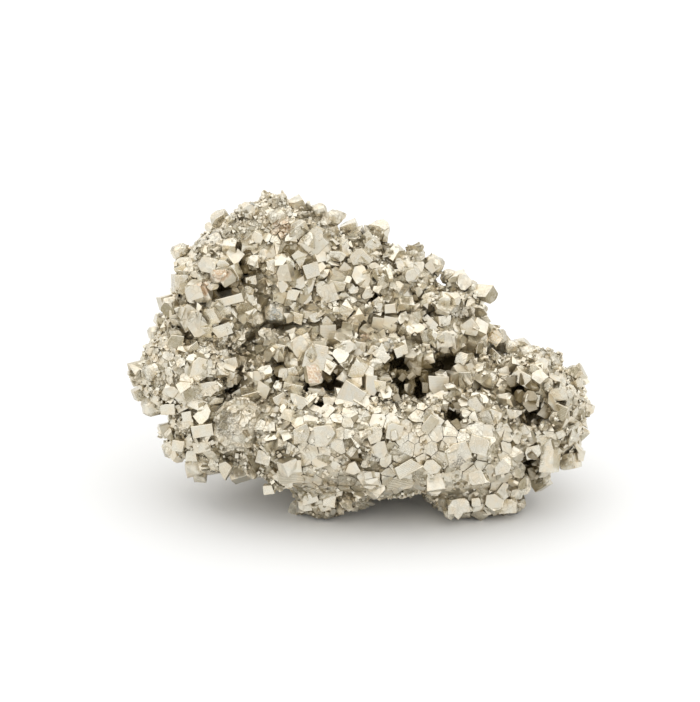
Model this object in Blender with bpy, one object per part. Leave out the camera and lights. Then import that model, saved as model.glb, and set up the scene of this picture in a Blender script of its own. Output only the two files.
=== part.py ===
"""Pyrite specimen: one solid lump of intergrown pyrite crystals, resting on its own broken feet.

The body is a union of faceted lumps with pits sunk into it. Crystals of cube, pyritohedron and
octahedron habit are seated on it, the large ones of the showing side one by one along sight lines
from a viewpoint in front, the rest by a seeded rule, and all are fused into one closed solid.
Units are metres, +Z up. The origin is under the middle of the bounding box, on the surface that
the specimen rests on.
"""

import math
import random
from collections import namedtuple

import bmesh
import bpy
from mathutils import Euler, Matrix, Vector, noise
from mathutils.bvhtree import BVHTree

MM = 0.001
NAME = "pyrite_cluster"

# Sight lines: the viewpoint looks down a little at the showing side of the specimen.
SIGHT_ELEVATION = math.radians(20.0)
SIGHT_DISTANCE = 429.0 * MM
SIGHT_TARGET = Vector((-2.4, 0.0, 34.0)) * MM

# The body's lumps: name, centre and radii in millimetres. The crystals stand out beyond them, so
# each is built smaller than its radii by the same inset.
LUMPS = (
    ("peak", (-18.0, 13.0, 48.0), (19.0, 15.0, 17.5)),
    ("crown", (-2.0, 12.0, 41.0), (21.5, 15.0, 16.5)),
    ("shoulder", (13.4, 10.0, 33.4), (17.5, 16.0, 14.0)),
    ("left_back", (-30.4, 8.0, 44.2), (12.0, 15.0, 16.0)),
    ("left_lobe", (-37.4, -2.0, 30.0), (12.5, 13.0, 12.0)),
    ("left_ledge", (-34.5, 3.0, 40.0), (10.5, 12.0, 9.0)),
    ("left_low", (-28.0, -4.0, 19.0), (15.5, 14.0, 11.0)),
    ("front_wall", (-5.0, -13.0, 19.0), (24.0, 13.0, 14.0)),
    ("front_right", (18.0, -12.0, 18.0), (20.0, 13.0, 13.0)),
    ("right_lobe", (37.0, -3.0, 21.0), (13.5, 14.0, 15.0)),
    ("core", (-2.0, 4.0, 24.0), (36.0, 22.0, 18.0)),
    ("back_base", (-2.0, 12.0, 11.0), (29.0, 15.0, 14.4)),
    ("keel", (5.0, -9.5, 10.6), (15.0, 12.5, 7.2)),
    ("foot_left", (-8.5, -11.0, 7.0), (8.0, 8.5, 9.6)),
    ("foot_right", (24.5, -10.0, 7.0), (12.5, 8.8, 9.6)),
)
LUMP_INSET = 0.8
BIG_LUMP = 30.0
LUMP_ROUGHNESS = 0.08

# Pits, sunk along the sight lines: across and up in the sight plane, width, height and depth in
# millimetres, and the turn of the mouth in degrees.
Pit = namedtuple("Pit", "across up wide high deep turn")
PITS = (
    Pit(11.3, -2.8, 7.0, 4.6, 11.0, 10.0),
    Pit(21.0, -3.0, 11.0, 4.8, 10.0, 14.0),
    Pit(11.0, -7.6, 4.6, 6.0, 10.0, 0.0),
    Pit(15.4, -8.2, 4.6, 5.6, 10.0, 0.0),
    Pit(23.3, -13.6, 4.2, 5.6, 8.0, -10.0),
    Pit(37.8, -8.6, 6.2, 3.2, 7.0, 10.0),
    Pit(40.6, -13.8, 5.6, 5.4, 8.0, 30.0),
    Pit(34.9, -4.2, 4.8, 2.6, 5.0, 5.0),
    Pit(-4.0, -7.2, 5.6, 5.2, 8.0, 0.0),
    Pit(-9.4, -7.4, 3.0, 4.2, 6.0, 0.0),
    Pit(-6.9, -11.6, 4.6, 3.0, 6.0, 0.0),
    Pit(-15.8, -4.6, 2.8, 6.0, 6.0, -10.0),
    Pit(-27.8, 13.8, 4.6, 3.8, 6.0, 15.0),
    Pit(-23.7, 17.6, 2.6, 6.0, 5.0, 5.0),
    Pit(-37.8, 5.9, 5.0, 2.8, 5.0, 0.0),
    Pit(-26.4, -8.2, 5.0, 2.6, 5.0, 10.0),
    Pit(17.2, 8.6, 4.0, 3.4, 6.0, 20.0),
    Pit(5.6, 11.4, 3.6, 3.0, 5.0, 0.0),
    Pit(40.0, -24.6, 5.0, 2.8, 5.0, 20.0),
    Pit(0.9, -23.5, 3.4, 2.2, 4.0, 0.0),
)

# The large crystals of the showing side, zone by zone. Across and up are places in the sight plane,
# wide and high the size of the face that shows, all in millimetres. Yaw, tilt and roll are its turn
# in degrees, and the habit says how far its corners are cut.
BLOCK, CLIPPED, ROUNDED = 0, 2, 4
Crystal = namedtuple("Crystal", "across up wide high yaw tilt roll habit")
ZONES = {
    "peak": (
        Crystal(-7.9, 24.1, 4.9, 4.9, 12, 10, 46, BLOCK),
        Crystal(-11.6, 26.4, 4.2, 3.6, -15, 25, 25, CLIPPED),
        Crystal(-21.2, 19.8, 3.2, 2.7, 25, 15, 10, BLOCK),
        Crystal(-26.3, 23.0, 3.2, 2.6, 10, 40, 0, CLIPPED),
        Crystal(-16.0, 29.4, 3.8, 3.2, -20, 30, 20, ROUNDED),
        Crystal(-22.6, 30.6, 4.0, 3.0, 25, 25, 30, ROUNDED),
        Crystal(-10.6, 31.0, 4.2, 3.2, -25, 30, -15, ROUNDED),
        Crystal(-4.4, 27.6, 4.6, 4.2, -10, 20, 10, ROUNDED),
        Crystal(-28.6, 29.0, 3.4, 2.8, 20, 30, 30, CLIPPED),
    ),
    "left_block": (
        Crystal(-31.0, 19.0, 3.9, 3.4, 10, 5, -12, CLIPPED),
        Crystal(-28.2, 16.6, 4.8, 3.4, 15, 20, 5, ROUNDED),
        Crystal(-36.9, 14.9, 4.2, 4.4, -15, 10, 5, CLIPPED),
        Crystal(-32.3, 13.6, 5.0, 4.0, 25, 25, 10, CLIPPED),
        Crystal(-26.2, 12.0, 6.2, 1.9, 10, 25, 19, BLOCK),
        Crystal(-37.7, 8.9, 4.2, 2.5, -10, 20, -3, BLOCK),
        Crystal(-34.6, 7.6, 4.3, 5.0, 5, 5, -4, CLIPPED),
        Crystal(-30.3, 8.6, 4.8, 4.2, 38, 15, 28, BLOCK),
        Crystal(-27.9, 4.9, 4.8, 2.6, 15, 10, 20, BLOCK),
        Crystal(-38.3, 22.2, 3.6, 3.2, -20, 15, 20, ROUNDED),
        Crystal(-36.6, 18.6, 3.4, 2.8, 20, 30, 10, CLIPPED),
    ),
    "crown": (
        Crystal(6.3, 26.8, 4.2, 3.6, 15, 30, -28, CLIPPED),
        Crystal(4.7, 23.7, 3.9, 3.2, -10, 15, 12, CLIPPED),
        Crystal(2.3, 20.4, 3.9, 4.0, 10, 5, 40, CLIPPED),
        Crystal(-3.0, 21.2, 3.6, 2.3, -10, 20, -12, CLIPPED),
        Crystal(1.7, 25.4, 3.2, 3.0, 20, 20, 25, CLIPPED),
        Crystal(-9.0, 17.7, 3.5, 3.2, -20, 10, 15, BLOCK),
        Crystal(-10.7, 15.2, 2.8, 3.0, 10, 5, -20, CLIPPED),
        Crystal(-2.6, 14.9, 3.6, 2.5, 5, 33, -8, BLOCK),
        Crystal(3.5, 15.7, 3.2, 3.0, 20, 15, 25, CLIPPED),
        Crystal(6.9, 15.6, 2.6, 3.3, -25, 15, -10, CLIPPED),
        Crystal(12.1, 20.3, 4.6, 4.0, 15, 15, -10, ROUNDED),
        Crystal(8.9, 21.2, 3.8, 3.4, -15, 20, 20, ROUNDED),
        Crystal(14.8, 22.0, 3.2, 3.6, 20, 20, 30, ROUNDED),
        Crystal(-17.0, 19.0, 3.4, 3.2, -15, 20, 10, CLIPPED),
        Crystal(-16.5, 8.6, 4.8, 4.6, -10, 15, 0, ROUNDED),
    ),
    "shoulder": (
        Crystal(19.2, 19.4, 4.2, 3.4, 15, 25, -20, ROUNDED),
        Crystal(12.0, 10.2, 3.5, 3.3, -10, 38, -12, BLOCK),
        Crystal(14.7, 7.4, 2.7, 3.2, 20, 10, 10, CLIPPED),
        Crystal(12.5, 4.6, 3.0, 2.7, -5, 34, -30, BLOCK),
        Crystal(24.8, 9.4, 5.8, 6.4, 20, 15, 15, ROUNDED),
        Crystal(26.6, 5.2, 3.7, 3.9, 15, 5, 38, CLIPPED),
        Crystal(30.0, 4.7, 3.4, 3.2, 25, 5, -25, BLOCK),
        Crystal(34.4, 3.4, 2.8, 3.4, 30, 10, 10, ROUNDED),
        Crystal(19.8, 2.5, 4.2, 3.8, -20, 15, 20, CLIPPED),
        Crystal(22.7, 2.1, 2.3, 4.0, 25, 5, 10, BLOCK),
        Crystal(27.2, 1.2, 3.6, 2.5, 35, 15, -10, BLOCK),
        Crystal(28.6, 12.8, 3.8, 3.6, 25, 20, -20, ROUNDED),
        Crystal(23.6, 15.6, 3.6, 3.2, 10, 25, 15, CLIPPED),
    ),
    "middle": (
        Crystal(0.3, 5.7, 3.7, 2.7, 5, 30, -10, BLOCK),
        Crystal(7.5, 6.2, 5.4, 3.8, 0, 20, -4, CLIPPED),
        Crystal(-11.4, 7.8, 3.4, 2.7, 15, 28, -10, BLOCK),
        Crystal(-11.5, 0.9, 3.8, 3.9, -15, 5, 35, CLIPPED),
        Crystal(-7.2, -1.4, 4.6, 5.2, 10, 0, -13, BLOCK),
        Crystal(-4.4, -3.4, 3.2, 2.6, 20, 10, -30, BLOCK),
        Crystal(-5.0, 4.2, 3.4, 3.2, -5, 5, 2, BLOCK),
        Crystal(-1.7, 0.3, 3.9, 3.8, 15, 15, 20, ROUNDED),
        Crystal(1.7, 0.8, 2.9, 3.2, -15, 10, -15, CLIPPED),
        Crystal(5.8, 0.1, 3.5, 3.0, 10, 12, 15, CLIPPED),
        Crystal(5.5, -2.8, 3.4, 3.2, -20, 20, -10, ROUNDED),
        Crystal(8.6, 1.2, 2.9, 3.3, 30, -10, 10, CLIPPED),
        Crystal(-7.3, -5.6, 3.3, 2.8, 20, 12, 20, CLIPPED),
        Crystal(-13.4, -4.9, 3.6, 3.2, -15, 15, 5, CLIPPED),
        Crystal(-12.1, -7.8, 4.2, 2.7, 15, 25, -8, BLOCK),
        Crystal(1.9, -4.4, 3.3, 3.0, 10, 20, -20, CLIPPED),
        Crystal(-15.6, -0.2, 4.0, 3.4, 25, 5, -5, BLOCK),
        Crystal(-19.5, 3.8, 3.4, 2.6, -15, 25, 8, CLIPPED),
        Crystal(-20.6, 7.0, 3.4, 3.2, 15, 10, 15, ROUNDED),
        Crystal(-19.0, -5.2, 3.7, 2.3, 10, 20, -3, BLOCK),
        Crystal(-18.4, -8.2, 3.5, 2.8, 25, 25, -22, BLOCK),
    ),
    "left_lobe": (
        Crystal(-38.3, 2.2, 3.6, 4.3, 5, 20, -10, CLIPPED),
        Crystal(-31.2, -3.7, 2.6, 3.6, 10, 5, 5, CLIPPED),
        Crystal(-33.8, -3.0, 3.0, 4.6, -25, 15, -15, BLOCK),
        Crystal(-35.2, -7.8, 4.6, 2.6, 10, -28, 25, BLOCK),
        Crystal(-30.4, -8.0, 5.2, 3.4, 5, 10, 10, CLIPPED),
        Crystal(-21.6, -9.7, 4.4, 3.0, -5, 28, 12, CLIPPED),
        Crystal(-43.6, -4.6, 3.8, 3.4, -20, 15, 20, ROUNDED),
        Crystal(-44.0, 0.6, 3.2, 3.0, -25, 20, -15, ROUNDED),
    ),
    "left_low": (
        Crystal(-33.9, -12.0, 4.0, 2.4, -10, -20, -20, BLOCK),
        Crystal(-31.5, -14.1, 4.0, 2.9, 15, -22, 38, BLOCK),
        Crystal(-32.2, -16.9, 4.8, 2.9, 5, 20, 8, BLOCK),
        Crystal(-40.4, -17.4, 3.2, 3.0, -20, 5, 15, CLIPPED),
        Crystal(-32.2, -20.9, 3.7, 2.4, 10, 10, 5, BLOCK),
        Crystal(-40.1, -22.0, 3.6, 3.4, -15, -15, 20, ROUNDED),
        Crystal(-31.4, -25.2, 4.8, 3.6, 5, -15, 5, CLIPPED),
        Crystal(-24.2, -27.1, 4.2, 2.9, 15, -20, 12, CLIPPED),
    ),
    "cleft": (
        Crystal(-10.5, -11.0, 2.8, 3.0, 15, -5, 40, BLOCK),
        Crystal(0.5, -9.5, 5.0, 4.4, 5, 10, -32, BLOCK),
        Crystal(4.3, -7.4, 2.5, 4.4, -15, 5, -4, BLOCK),
        Crystal(19.0, -7.2, 4.4, 3.8, -12, 8, -4, BLOCK),
        Crystal(22.5, -7.0, 2.1, 3.6, 30, 5, 0, BLOCK),
    ),
    "right_lobe": (
        Crystal(25.6, -6.8, 2.8, 4.6, 10, 5, 6, CLIPPED),
        Crystal(30.5, -6.8, 5.2, 4.6, 10, 15, -10, ROUNDED),
        Crystal(31.8, -1.6, 3.2, 3.4, 20, 15, -35, CLIPPED),
        Crystal(38.3, -5.6, 4.5, 2.9, 10, 22, -27, BLOCK),
        Crystal(41.5, -4.0, 2.8, 3.2, 25, 15, 10, CLIPPED),
        Crystal(39.6, -10.6, 3.5, 2.6, -15, 5, -8, BLOCK),
        Crystal(45.8, -9.0, 4.0, 2.8, 10, 20, 10, CLIPPED),
        Crystal(46.2, -13.0, 3.9, 3.4, 15, 15, -20, BLOCK),
        Crystal(27.6, -11.6, 3.2, 3.2, 5, 10, 20, CLIPPED),
        Crystal(31.7, -14.6, 3.5, 3.6, 15, 10, -20, CLIPPED),
        Crystal(38.4, -18.0, 3.6, 4.2, 20, 10, -10, CLIPPED),
        Crystal(40.2, -21.8, 3.6, 2.8, 5, 15, 15, CLIPPED),
        Crystal(44.2, -23.0, 2.8, 7.4, 25, 0, -7, BLOCK),
        Crystal(49.0, -18.4, 4.8, 5.6, 30, 5, 5, ROUNDED),
        Crystal(48.4, -24.2, 3.8, 3.4, 35, 0, 10, CLIPPED),
        Crystal(44.6, -1.8, 3.4, 3.0, 25, 25, -10, ROUNDED),
        Crystal(38.8, -0.6, 3.6, 3.0, -10, 30, 10, ROUNDED),
        Crystal(42.0, -29.0, 3.6, 2.8, 30, -10, 30, BLOCK),
    ),
    "front_wall": (
        Crystal(-24.0, -16.0, 8.6, 8.6, -10, 5, 10, ROUNDED),
        Crystal(-5.4, -18.2, 4.7, 4.3, 5, 10, 5, CLIPPED),
        Crystal(-11.3, -18.2, 4.4, 3.3, -10, 12, 22, CLIPPED),
        Crystal(-13.2, -27.6, 5.4, 2.8, -5, 0, 3, BLOCK),
        Crystal(-12.6, -24.9, 4.2, 2.6, 10, 15, 5, BLOCK),
        Crystal(5.6, -18.0, 3.4, 3.5, 10, 10, 20, CLIPPED),
        Crystal(9.5, -17.5, 3.6, 3.5, -10, 8, -15, CLIPPED),
        Crystal(6.5, -21.6, 3.0, 3.4, 5, 5, 15, CLIPPED),
        Crystal(4.2, -28.3, 4.8, 3.7, 5, 0, -8, CLIPPED),
        Crystal(12.6, -25.4, 5.8, 2.8, -5, 8, 28, BLOCK),
        Crystal(10.9, -28.5, 6.0, 2.7, 5, -2, 10, BLOCK),
        Crystal(18.4, -25.5, 3.3, 2.8, 15, 10, -38, BLOCK),
        Crystal(17.3, -15.8, 4.2, 2.3, 10, 10, 52, BLOCK),
        Crystal(18.8, -29.0, 4.0, 3.8, 0, -14, 5, CLIPPED),
        Crystal(23.4, -22.4, 5.0, 4.8, -5, 8, 15, CLIPPED),
        Crystal(28.6, -20.4, 4.2, 3.8, 10, 10, -15, CLIPPED),
        Crystal(34.1, -24.9, 3.8, 3.8, 20, 0, 10, CLIPPED),
        Crystal(-18.6, -23.5, 3.0, 2.8, 15, 5, -15, BLOCK),
        Crystal(1.8, -31.0, 4.0, 2.4, 10, -5, -48, BLOCK),
        Crystal(28.4, -27.6, 4.2, 3.4, 5, -5, 10, CLIPPED),
        Crystal(37.4, -28.4, 4.4, 3.0, 20, -5, -5, ROUNDED),
    ),
    "feet": (
        Crystal(-8.6, -32.0, 3.6, 2.5, 10, 5, 15, BLOCK),
        Crystal(31.6, -32.8, 3.8, 3.3, 5, 5, 8, CLIPPED),
        Crystal(23.4, -34.0, 5.0, 3.4, -10, 0, 8, CLIPPED),
        Crystal(35.0, -34.0, 4.0, 3.2, 15, 0, 5, CLIPPED),
    ),
}

CORNER_DEPTH = (0.12, 0.34)
STANDING_OUT = 0.36

# Crystals that the seeded rule adds: how many, and their sizes on the showing side and elsewhere.
FILL_SEED = 11
FILL_COUNT = 98
SHOWING_SIZE = (3.4 * MM, 5.0 * MM)
HIDDEN_SIZE = (4.6 * MM, 7.8 * MM)
FILL_SPACING = 1.0

SHORTEST_EDGE = 0.01 * MM

def clear_scene():
    for obj in list(bpy.data.objects):
        bpy.data.objects.remove(obj)


def new_collection(name, hidden=False):
    collection = bpy.data.collections.new(name)
    bpy.context.scene.collection.children.link(collection)
    collection.hide_render = hidden
    return collection


def add_object(name, mesh, collection, helper=False):
    obj = bpy.data.objects.new(name, mesh)
    collection.objects.link(obj)
    if helper:
        obj.hide_render = True
        obj.display_type = "WIRE"
    return obj


def mesh_from(bm, name):
    mesh = bpy.data.meshes.new(name)
    bm.normal_update()
    bm.to_mesh(mesh)
    bm.free()
    return mesh


def evaluated_mesh(obj, name):
    graph = bpy.context.evaluated_depsgraph_get()
    mesh = bpy.data.meshes.new_from_object(obj.evaluated_get(graph), depsgraph=graph)
    mesh.name = name
    return mesh


def add_boolean(obj, operation, collection):
    cut = obj.modifiers.new(operation.title(), "BOOLEAN")
    cut.operation = operation
    cut.operand_type = "COLLECTION"
    cut.collection = collection
    cut.solver = "EXACT"


# --- sight plane ---------------------------------------------------------------------------------


def sight_axes():
    """The sight plane's right, away and up directions."""
    away = Vector((0.0, math.cos(SIGHT_ELEVATION), -math.sin(SIGHT_ELEVATION)))
    right = Vector((1.0, 0.0, 0.0))
    return right, away, right.cross(away)


def sight_ray(across, up):
    """The viewpoint, and the direction from it to a point of the sight plane in millimetres."""
    right, away, upward = sight_axes()
    eye = SIGHT_TARGET - away * SIGHT_DISTANCE
    point = SIGHT_TARGET + (right * across + upward * up) * MM
    return eye, (point - eye).normalized()


def sight_turn(yaw, tilt, roll):
    """Turns a crystal as it is seen: yaw shows its right face, tilt its top, roll is anticlockwise."""
    right, away, upward = sight_axes()
    frame = Matrix((right, away, upward)).transposed()
    return (
        frame
        @ Matrix.Rotation(math.radians(-roll), 3, "Y")
        @ Matrix.Rotation(math.radians(tilt), 3, "X")
        @ Matrix.Rotation(math.radians(-yaw), 3, "Z")
    )


# --- body ----------------------------------------------------------------------------------------


def lump_mesh(name, centre, radii):
    """A faceted lump: an icosphere stretched to its radii, with its corners pushed in and out."""
    bm = bmesh.new()
    bmesh.ops.create_icosphere(bm, subdivisions=3 if max(radii) > BIG_LUMP else 2, radius=1.0)
    for vert in bm.verts:
        shift = noise.noise(vert.co * 1.7 + Vector(centre) * 0.1)
        vert.co = vert.co * (1.0 + LUMP_ROUGHNESS * shift)
        stretched = Vector(c * (r - LUMP_INSET) for c, r in zip(vert.co, radii))
        vert.co = (Vector(centre) + stretched) * MM
    return mesh_from(bm, name)


def make_body(collection, helpers, pits):
    name, centre, radii = LUMPS[0]
    body = add_object(name, lump_mesh(name, centre, radii), collection)
    for name, centre, radii in LUMPS[1:]:
        add_object(name, lump_mesh(name, centre, radii), helpers, helper=True)
    add_boolean(body, "UNION", helpers)
    mesh = evaluated_mesh(body, "body")
    body.modifiers.clear()
    body.data = mesh
    surface = surface_of(mesh)
    for index, pit in enumerate(PITS):
        add_object(f"pit_{index}", pit_mesh(pit, surface), pits, helper=True)
    add_boolean(body, "DIFFERENCE", pits)
    mesh = evaluated_mesh(body, "body")
    body.modifiers.clear()
    body.data = mesh
    return body


def pit_mesh(pit, surface):
    eye, ray = sight_ray(pit.across, pit.up)
    mouth = surface.ray_cast(eye, ray)[0]
    if mouth is None:
        raise ValueError(f"nothing to sink {pit} into")
    bm = bmesh.new()
    bmesh.ops.create_icosphere(bm, subdivisions=1, radius=1.0)
    size = Vector((pit.wide / 2, pit.deep, pit.high / 2)) * MM
    bmesh.ops.scale(bm, verts=bm.verts, vec=size)
    bmesh.ops.rotate(bm, verts=bm.verts, matrix=sight_turn(0.0, 0.0, pit.turn))
    bmesh.ops.translate(bm, verts=bm.verts, vec=mouth)
    return mesh_from(bm, "pit")


def surface_of(mesh):
    bm = bmesh.new()
    bm.from_mesh(mesh)
    bmesh.ops.triangulate(bm, faces=bm.faces)
    tree = BVHTree.FromBMesh(bm)
    bm.free()
    return tree


# --- crystals ------------------------------------------------------------------------------------


def cut_plane(bm, normal, distance):
    """Cuts away what lies beyond a plane, and closes the cut with a flat face."""
    geometry = bm.verts[:] + bm.edges[:] + bm.faces[:]
    cut = bmesh.ops.bisect_plane(
        bm,
        geom=geometry,
        plane_co=normal * distance,
        plane_no=normal,
        clear_outer=True,
    )
    rim = [item for item in cut["geom_cut"] if isinstance(item, bmesh.types.BMEdge)]
    if len(rim) > 2:
        bmesh.ops.contextual_create(bm, geom=rim)


def crystal_mesh(name, sides, corners, rule):
    """A crystal: a block with its sides in metres, and as many of its corners cut off as asked."""
    bm = bmesh.new()
    bmesh.ops.create_cube(bm, size=1.0)
    bmesh.ops.scale(bm, verts=bm.verts, vec=sides)
    octants = [Vector((x, y, z)) for x in (-1, 1) for y in (-1, 1) for z in (-1, 1)]
    for octant in rule.sample(octants, corners):
        corner = Vector(s * o / 2 for s, o in zip(sides, octant))
        normal = octant.normalized()
        depth = rule.uniform(*CORNER_DEPTH) * min(sides)
        cut_plane(bm, normal, corner.dot(normal) - depth)
    return mesh_from(bm, name)


def place_crystal(name, mesh, centre, turn, collection):
    obj = add_object(name, mesh, collection, helper=True)
    mesh.transform(turn.to_4x4())
    mesh.transform(Matrix.Translation(centre))
    return obj


def seat_along(surface, eye, ray, deep):
    """Where a sight line meets the surface, or stands out from the outline that it passes by."""
    seat, normal, _, _ = surface.ray_cast(eye, ray)
    if seat is not None:
        return seat, normal
    passes = [eye + ray * (SIGHT_DISTANCE + step * MM) for step in range(-40, 41)]
    point, (near, normal, _, gap) = min(
        ((p, surface.find_nearest(p)) for p in passes),
        key=lambda found: found[1][3],
    )
    return near + (point - near) * min(1.0, STANDING_OUT * deep / gap), normal


def large_crystals(body, collection):
    """Seats the listed crystals along their sight lines, and gives back their seats."""
    rule = random.Random(FILL_SEED)
    surface = surface_of(body.data)
    seats = []
    for zone, crystals in ZONES.items():
        for index, crystal in enumerate(crystals):
            eye, ray = sight_ray(crystal.across, crystal.up)
            deep = (crystal.wide + crystal.high) / 2
            seat, normal = seat_along(surface, eye, ray, deep * MM)
            sides = Vector((crystal.wide, deep, crystal.high)) * MM
            mesh = crystal_mesh(f"{zone}_{index}", sides, crystal.habit, rule)
            turn = sight_turn(crystal.yaw, crystal.tilt, crystal.roll)
            centre = seat + ray * (0.5 - STANDING_OUT) * deep * MM
            place_crystal(f"{zone}_{index}", mesh, centre, turn, collection)
            seats.append((centre, normal, deep * MM))
    return seats


def surface_points(mesh, rule, wanted, taken):
    """Seats for crystals: places on the mesh, area by area, no nearer than their sizes allow."""
    mesh.calc_loop_triangles()
    triangles = [
        ([mesh.vertices[i].co.copy() for i in tri.vertices], tri.normal.copy(), tri.area)
        for tri in mesh.loop_triangles
    ]
    areas = [area for _, _, area in triangles]
    _, away, _ = sight_axes()
    seats = []
    for _ in range(wanted * 40):
        (a, b, c), normal, _ = rule.choices(triangles, weights=areas)[0]
        s, t = rule.random(), rule.random()
        if s + t > 1.0:
            s, t = 1.0 - s, 1.0 - t
        point = a + (b - a) * s + (c - a) * t
        size = rule.uniform(*(SHOWING_SIZE if normal.dot(away) < 0.0 else HIDDEN_SIZE))
        clear = all(
            (point - seat).length > FILL_SPACING * (size + other) / 2
            for seat, _, other in taken + seats
        )
        if clear:
            seats.append((point, normal, size))
        if len(seats) == wanted:
            break
    return seats


def fill_crystals(body, taken, collection):
    """Seats further crystals wherever the listed ones leave room."""
    rule = random.Random(FILL_SEED)
    seats = surface_points(body.data, rule, FILL_COUNT, taken)
    for index, (point, normal, size) in enumerate(seats):
        sides = Vector(size * rule.uniform(0.8, 1.15) for _ in range(3))
        mesh = crystal_mesh(f"fill_{index}", sides, rule.choice((0, 1, 2)), rule)
        turn = Euler([rule.uniform(-math.pi, math.pi) for _ in range(3)]).to_matrix()
        centre = point - normal * (0.5 - STANDING_OUT) * size
        place_crystal(f"fill_{index}", mesh, centre, turn, collection)


# --- base and frame ------------------------------------------------------------------------------


def cut_flat(body, collection):
    """Everything below the resting surface is broken off flat."""
    bm = bmesh.new()
    bmesh.ops.create_cube(bm, size=1.0)
    bmesh.ops.scale(bm, verts=bm.verts, vec=(0.2, 0.2, 0.04))
    bmesh.ops.translate(bm, verts=bm.verts, vec=(0.0, 0.0, -0.02))
    add_object("ground", mesh_from(bm, "ground"), collection, helper=True)
    add_boolean(body, "DIFFERENCE", collection)


def tidy_mesh(mesh):
    bm = bmesh.new()
    bm.from_mesh(mesh)
    bmesh.ops.remove_doubles(bm, verts=bm.verts, dist=SHORTEST_EDGE)
    bmesh.ops.dissolve_degenerate(bm, edges=bm.edges, dist=SHORTEST_EDGE)
    bm.to_mesh(mesh)
    bm.free()


def drop_sealed_voids(mesh):
    """Small gaps shut in between crystals are filled: only the outer skin is kept."""
    bm = bmesh.new()
    bm.from_mesh(mesh)
    unseen = set(bm.faces)
    skins = []
    while unseen:
        front = [unseen.pop()]
        skin = list(front)
        while front:
            linked = {f for face in front for e in face.edges for f in e.link_faces} & unseen
            unseen -= linked
            skin.extend(linked)
            front = list(linked)
        skins.append(skin)
    skins.sort(key=len)
    for skin in skins[:-1]:
        bmesh.ops.delete(bm, geom=skin, context="FACES")
    bm.to_mesh(mesh)
    bm.free()


def recentre(mesh):
    """Moves the origin under the middle of the bounding box."""
    xs, ys, zs = zip(*(v.co for v in mesh.vertices))
    shift = Vector(((max(xs) + min(xs)) / 2, (max(ys) + min(ys)) / 2, min(zs)))
    mesh.transform(Matrix.Translation(-shift))
    print("origin moved by", [round(c / MM, 3) for c in shift], "mm")


def pyrite_material():
    material = bpy.data.materials.new("pyrite")
    material.use_nodes = True
    shader = material.node_tree.nodes["Principled BSDF"]
    shader.inputs["Base Color"].default_value = (0.62, 0.56, 0.43, 1.0)
    shader.inputs["Metallic"].default_value = 1.0
    shader.inputs["Roughness"].default_value = 0.35
    return material


def main():
    clear_scene()
    specimen = new_collection("Pyrite specimen")
    lumps = new_collection("Lumps")
    pits = new_collection("Pits")
    crystals = new_collection("Crystals")
    ground = new_collection("Ground")
    body = make_body(specimen, lumps, pits)
    taken = large_crystals(body, crystals)
    fill_crystals(body, taken, crystals)
    add_boolean(body, "UNION", crystals)
    cut_flat(body, ground)
    mesh = evaluated_mesh(body, NAME)
    body.modifiers.clear()
    body.data = mesh
    body.name = NAME
    tidy_mesh(mesh)
    drop_sealed_voids(mesh)
    recentre(mesh)
    mesh.materials.clear()
    mesh.materials.append(pyrite_material())
    print("triangles", sum(len(p.vertices) - 2 for p in mesh.polygons))


main()
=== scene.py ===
"""Looks for the pyrite specimen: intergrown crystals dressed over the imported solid.

Pyrite grows as cubes, cut cubes and pyritohedra, all in one metal-bright mineral. Four layers make
it here, all in the solid's own frame: the matrix that shows in the cracks, the large crystals, the
mosaic of crystals grown against each other, and fine grains in the hollows and on the rough zones.
"""

import math
import random
from collections import namedtuple
from functools import partial

import bmesh
import bpy
import numpy as np
from bpy.props import FloatProperty, FloatVectorProperty, IntProperty, PointerProperty
from mathutils import Euler, Matrix, Vector, kdtree, noise
from mathutils.bvhtree import BVHTree


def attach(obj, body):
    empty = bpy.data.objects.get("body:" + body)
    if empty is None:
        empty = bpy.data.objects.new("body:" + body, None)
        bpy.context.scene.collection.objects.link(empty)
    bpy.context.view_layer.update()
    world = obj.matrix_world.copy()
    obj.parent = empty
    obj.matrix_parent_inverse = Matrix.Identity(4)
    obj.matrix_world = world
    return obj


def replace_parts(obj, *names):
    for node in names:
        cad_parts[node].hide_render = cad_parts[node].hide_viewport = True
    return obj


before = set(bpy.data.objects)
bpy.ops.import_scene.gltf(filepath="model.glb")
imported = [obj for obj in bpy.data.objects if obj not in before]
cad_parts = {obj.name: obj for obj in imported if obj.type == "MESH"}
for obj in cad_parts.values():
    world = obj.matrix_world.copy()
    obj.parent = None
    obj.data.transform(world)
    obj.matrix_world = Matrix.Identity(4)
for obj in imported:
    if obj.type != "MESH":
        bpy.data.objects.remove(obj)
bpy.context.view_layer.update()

bl_info = {
    "name": "Pyrite specimen",
    "version": (1, 0, 0),
    "blender": (4, 5, 0),
    "location": "3D View > Sidebar > Pyrite",
    "description": "Dresses a packed pyrite solid with intergrown crystals and sets its studio",
    "category": "Object",
}

MM = 0.001
NODE = "pyrite_cluster"
BODY = "root"

# The solid's own sight plane: it faces a viewpoint in front that looks down a little. Places on the
# showing side are given in it, in millimetres across and up. The solid was centred afterwards.
SIGHT_ELEVATION = math.radians(20.0)
SIGHT_DISTANCE = 429.0 * MM
SIGHT_MIDDLE, CENTRED_BY = Vector((-2.4, 0.0, 34.0)), Vector((0.534, 1.952, 0.0))
SIGHT_TARGET = (SIGHT_MIDDLE - CENTRED_BY) * MM
RIGHT = Vector((1.0, 0.0, 0.0))
AWAY = Vector((0.0, math.cos(SIGHT_ELEVATION), -math.sin(SIGHT_ELEVATION)))
UPWARD = RIGHT.cross(AWAY)
EYE = SIGHT_TARGET - AWAY * SIGHT_DISTANCE

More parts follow.
